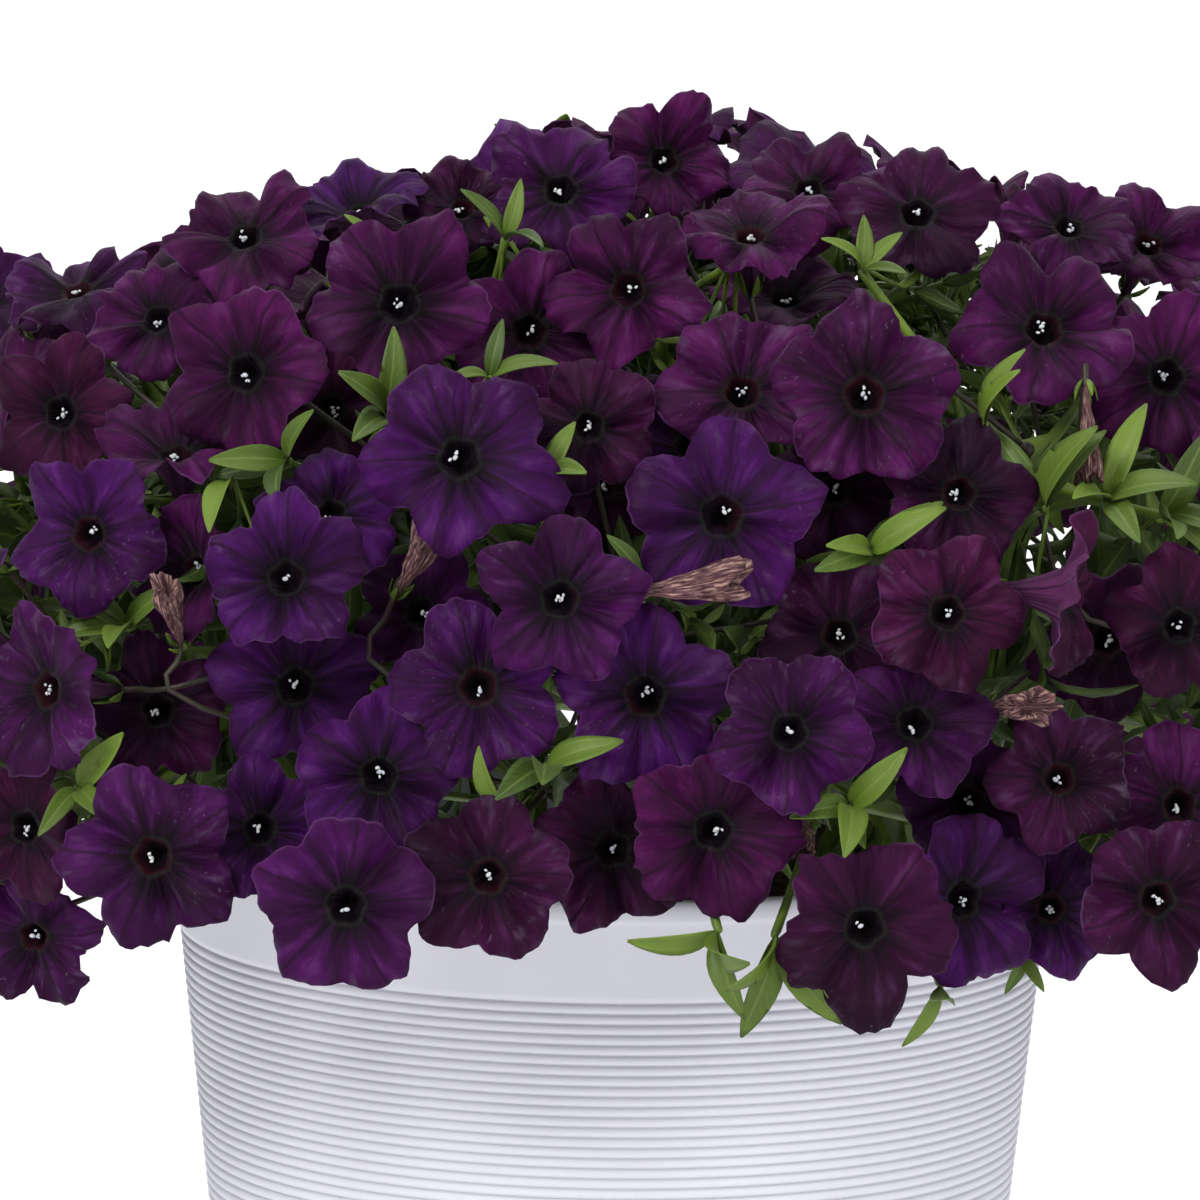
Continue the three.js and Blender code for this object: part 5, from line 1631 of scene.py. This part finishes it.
class Undergrowth:
    """Fine leafy sprigs that fill the gaps between the blooms, each grown from the nearest branch."""

    heart = Vector((0.0, 0.0, 262 * MM))
    tries = 4000
    # The deeper kinds have darker leaves, as painted shade inside the plant.
    kinds = (
        SprigKind(count=190, low=0.45, high=0.78, size=42 * MM, spare=0.0, youth_and_shade=0.15),
        SprigKind(count=190, low=0.76, high=0.90, size=34 * MM, spare=0.0, youth_and_shade=0.24),
        SprigKind(count=130, low=0.80, high=0.94, size=22 * MM, spare=0.8, youth_and_shade=0.8),
    )
    lowest = 280 * MM
    reach = 120 * MM
    cover = 120 * MM
    leaf_clearance = 1.6 * MM
    tip_clearance = 2.5 * MM
    twig_clearance = 1.2 * MM
    twig_radius = 0.75 * MM
    twig_pitch = 6.5 * MM
    soil_level = 256 * MM
    golden_turn = 2.39996

    def __init__(self, places: Sequence[Vector], branches: dict[str, Mesh]) -> None:
        """Prepares the searches.

        Args:
            places: The middles of all the blooms.
            branches: The branches of each stem.
        """
        self.rays = [(place - self.heart) for place in places]
        blooms = bmesh.new()
        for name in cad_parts:
            if name.startswith("spray_"):
                blooms.from_mesh(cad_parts[name].data)
        self.around = BVHTree.FromBMesh(blooms)
        blooms.free()
        corners = [(vertex.co.copy(), name) for name, mesh in branches.items() for vertex in mesh.verts]
        seats = [(place, name) for place, name in corners if place.z > self.soil_level]
        self.owners = [name for _, name in seats]
        self.tree = KDTree(len(seats))
        for index, (place, _) in enumerate(seats):
            self.tree.insert(place, index)
        self.tree.balance()
        self.parts: dict[str, list[Mesh]] = {name: [] for name in branches}
        self.rng = random.Random(11)

    def shell(self, ray: Vector) -> float:
        """Gives how far out the blooms stand along a direction.

        Args:
            ray: A unit direction from the heart of the plant.

        Returns:
            The distance from the heart.
        """
        near = sorted(self.rays, key=lambda r: -r.normalized().dot(ray))[:4]
        return sum(r.length for r in near) / len(near)

    def clear(self, points: Sequence[Vector], gap: float) -> bool:
        """Whether all of some points keep a distance from the blooms."""
        return all(self.around.find_nearest(point)[3] > gap for point in points)

    def blade(self, start: Vector, along: Vector, top: Vector, length: float, youth_and_shade: float) -> Mesh | None:
        """Makes a leaf where there is room for it.

        Args:
            start: The foot of the leaf.
            along: The way that it points.
            top: The way that its face looks.
            length: The length that it would like.
            youth_and_shade: How pale it may be.

        Returns:
            The geometry, or None where it would touch a bloom.
        """
        side = top.cross(along).normalized()
        for _ in range(3):
            spots = ((0.35, 0.0), (0.55, 1.0), (0.55, -1.0), (0.8, 0.0), (1.0, 0.0))
            checked = [start + along * length * x + side * y * length * 0.17 for x, y in spots]
            if self.clear(checked, self.leaf_clearance):
                shape = LeafShape(
                    start, along, top, length, width=self.rng.uniform(0.24, 0.40),
                    arch=self.rng.uniform(0.3, 2.0), thickness=0.4 * MM, age=self.rng.random() * youth_and_shade,
                    bend=self.rng.uniform(-0.16, 0.16), twist=self.rng.uniform(-0.9, 0.9))
                return shape.build((5, 3) if youth_and_shade > 0.5 else (4, 2), 0)
            length *= 0.72
        return None

    def route(self, target: Vector) -> tuple[str, list[Vector]] | None:
        """Finds a clear way from a branch to a target.

        Args:
            target: The tip of the sprig.

        Returns:
            The stem's name and the way, or None where there is none.
        """
        for place, index, away in self.tree.find_n(target, 12):
            if away > self.reach:
                return None
            bulge = (target - self.heart).normalized() * away * self.rng.uniform(0.0, 0.22)
            way = smooth_path([place, (place + target) / 2 - bulge, target], 4)
            if self.clear(way[1:], self.twig_clearance):
                return self.owners[index], way
        return None

    def sprig(self, target: Vector, size: float, youth_and_shade: float) -> bool:
        """Grows a sprig.

        Args:
            target: Its tip.
            size: The length of its largest leaves.
            youth_and_shade: How pale they may be.

        Returns:
            Whether there was a way to it.
        """
        found = self.route(target)
        if found is None:
            return False
        name, way = found
        twig = tube_along(way, lambda t: self.twig_radius * (1.15 - 0.45 * t), 4, 1)
        self.parts[name].append(twig)
        turn = self.rng.uniform(0, 6)
        count = max(4, round((way[-1] - way[0]).length / self.twig_pitch))
        for k in range(count):
            share = 1.0 - 0.72 * k / count
            spot = way[min(len(way) - 2, int(share * (len(way) - 1)))]
            ahead = way[min(len(way) - 1, int(share * (len(way) - 1)) + 1)]
            axis = (ahead - spot).normalized()
            foot = spot.lerp(ahead, share * (len(way) - 1) % 1.0)
            side, other = square_axes(axis)
            outward = around(side, other, turn)
            turn += self.golden_turn
            spread = self.rng.uniform(0.35, 1.25)
            along = around(axis, outward, spread).normalized()
            top = (axis * math.sin(spread) - outward * math.cos(spread)).normalized()
            made = self.blade(foot, along, top, size * self.rng.uniform(0.55, 1.0), youth_and_shade)
            if made is not None:
                self.parts[name].append(made)
        return True

    def build(self) -> dict[str, list[Mesh]]:
        """Grows the sprigs.

        Returns:
            The geometry for each stem.
        """
        for kind in self.kinds:
            grown = 0
            for _ in range(self.tries):
                height = self.rng.uniform(-0.05, 1.0)
                turn = self.rng.uniform(0, 2 * math.pi)
                level = math.sqrt(1 - height * height)
                ray = Vector((level * math.cos(turn), level * math.sin(turn), height))
                target = self.heart + ray * self.shell(ray) * self.rng.uniform(kind.low, kind.high)
                hidden = self.around.ray_cast(target, ray, self.cover)[0] is not None
                if target.z < self.lowest or (hidden and self.rng.random() < kind.spare):
                    continue
                if not self.clear([target], self.tip_clearance):
                    continue
                grown += self.sprig(target, kind.size, kind.youth_and_shade)
                if grown == kind.count:
                    break
            LOG.info("undergrowth: %d sprigs of %.0f mm leaves", grown, kind.size / MM)
        return self.parts


@dataclass
class Studio:
    """A pale floor that runs far back, soft boxes and an even surround."""

    reach: float = 26.0
    surround: float = 0.5

    def floor(self) -> bpy.types.Object:
        """Makes the floor.

        Returns:
            The floor.
        """
        mesh = bmesh.new()
        bmesh.ops.create_grid(mesh, x_segments=8, y_segments=8, size=self.reach / 2)
        data = bpy.data.meshes.new("floor")
        mesh.to_mesh(data)
        mesh.free()
        data.materials.append(PaleFinish().build())
        floor = bpy.data.objects.new("floor", data)
        bpy.context.scene.collection.objects.link(floor)
        return floor

    def box_light(self, name: str, place: Vector, size: float, power: float, aim: Vector) -> None:
        """Adds a square soft box.

        Args:
            name: The light's name.
            place: Where it stands.
            size: Its side.
            power: Its power in watts.
            aim: The point that it looks at.
        """
        data = bpy.data.lights.new(name, "AREA")
        data.shape = "SQUARE"
        data.size = size
        data.energy = power
        light = bpy.data.objects.new(name, data)
        turn = (aim - place).to_track_quat("-Z", "Y").to_matrix().to_4x4()
        light.matrix_world = Matrix.Translation(place) @ turn
        bpy.context.scene.collection.objects.link(light)

    def build(self) -> None:
        """Makes the floor, the lights and the surround."""
        self.floor()
        middle = Vector((0, 0, 0.3))
        self.box_light("key", Vector((-1.5, -2.3, 2.3)), 1.3, 88.0, middle)
        self.box_light("fill", Vector((2.0, -2.2, 0.9)), 1.8, 31.0, middle)
        self.box_light("top", Vector((0.1, 0.3, 2.6)), 1.4, 18.0, middle)
        self.box_light("backdrop", Vector((0.0, 4.8, 3.2)), 7.0, 190.0, Vector((0.0, 4.9, 0.0)))
        world = bpy.data.worlds.new("surround")
        world.use_nodes = True
        back = world.node_tree.nodes["Background"]
        back.inputs[0].default_value = (1.0, 1.0, 1.0, 1.0)
        back.inputs[1].default_value = self.surround
        bpy.context.scene.world = world
        bpy.context.scene.view_settings.view_transform = "Standard"


def main() -> None:
    """Builds the plant, its pot and the studio."""
    logging.basicConfig(level=logging.INFO, format="%(name)s %(message)s")
    palette = Palette()
    viewpoint = Viewpoint()
    viewpoint.build()
    Studio().build()
    pot = Pot(palette.pot).build()
    LOG.info("pot: %d faces", len(pot.data.polygons))
    crumbs = Soil(palette.soil).build()
    LOG.info("soil crumbs: %d faces", len(crumbs.data.polygons))
    blooms = Sprays(palette, viewpoint).build()
    Stems(palette, [bloom.place for bloom in blooms]).build()
    LOG.info("%d blooms in all", len(blooms))
    meshes = [item.data for item in bpy.data.objects if item.type == "MESH"]
    LOG.info("%d triangles", sum(len(face.vertices) - 2 for mesh in meshes for face in mesh.polygons))


if __name__ == "__main__":
    main()
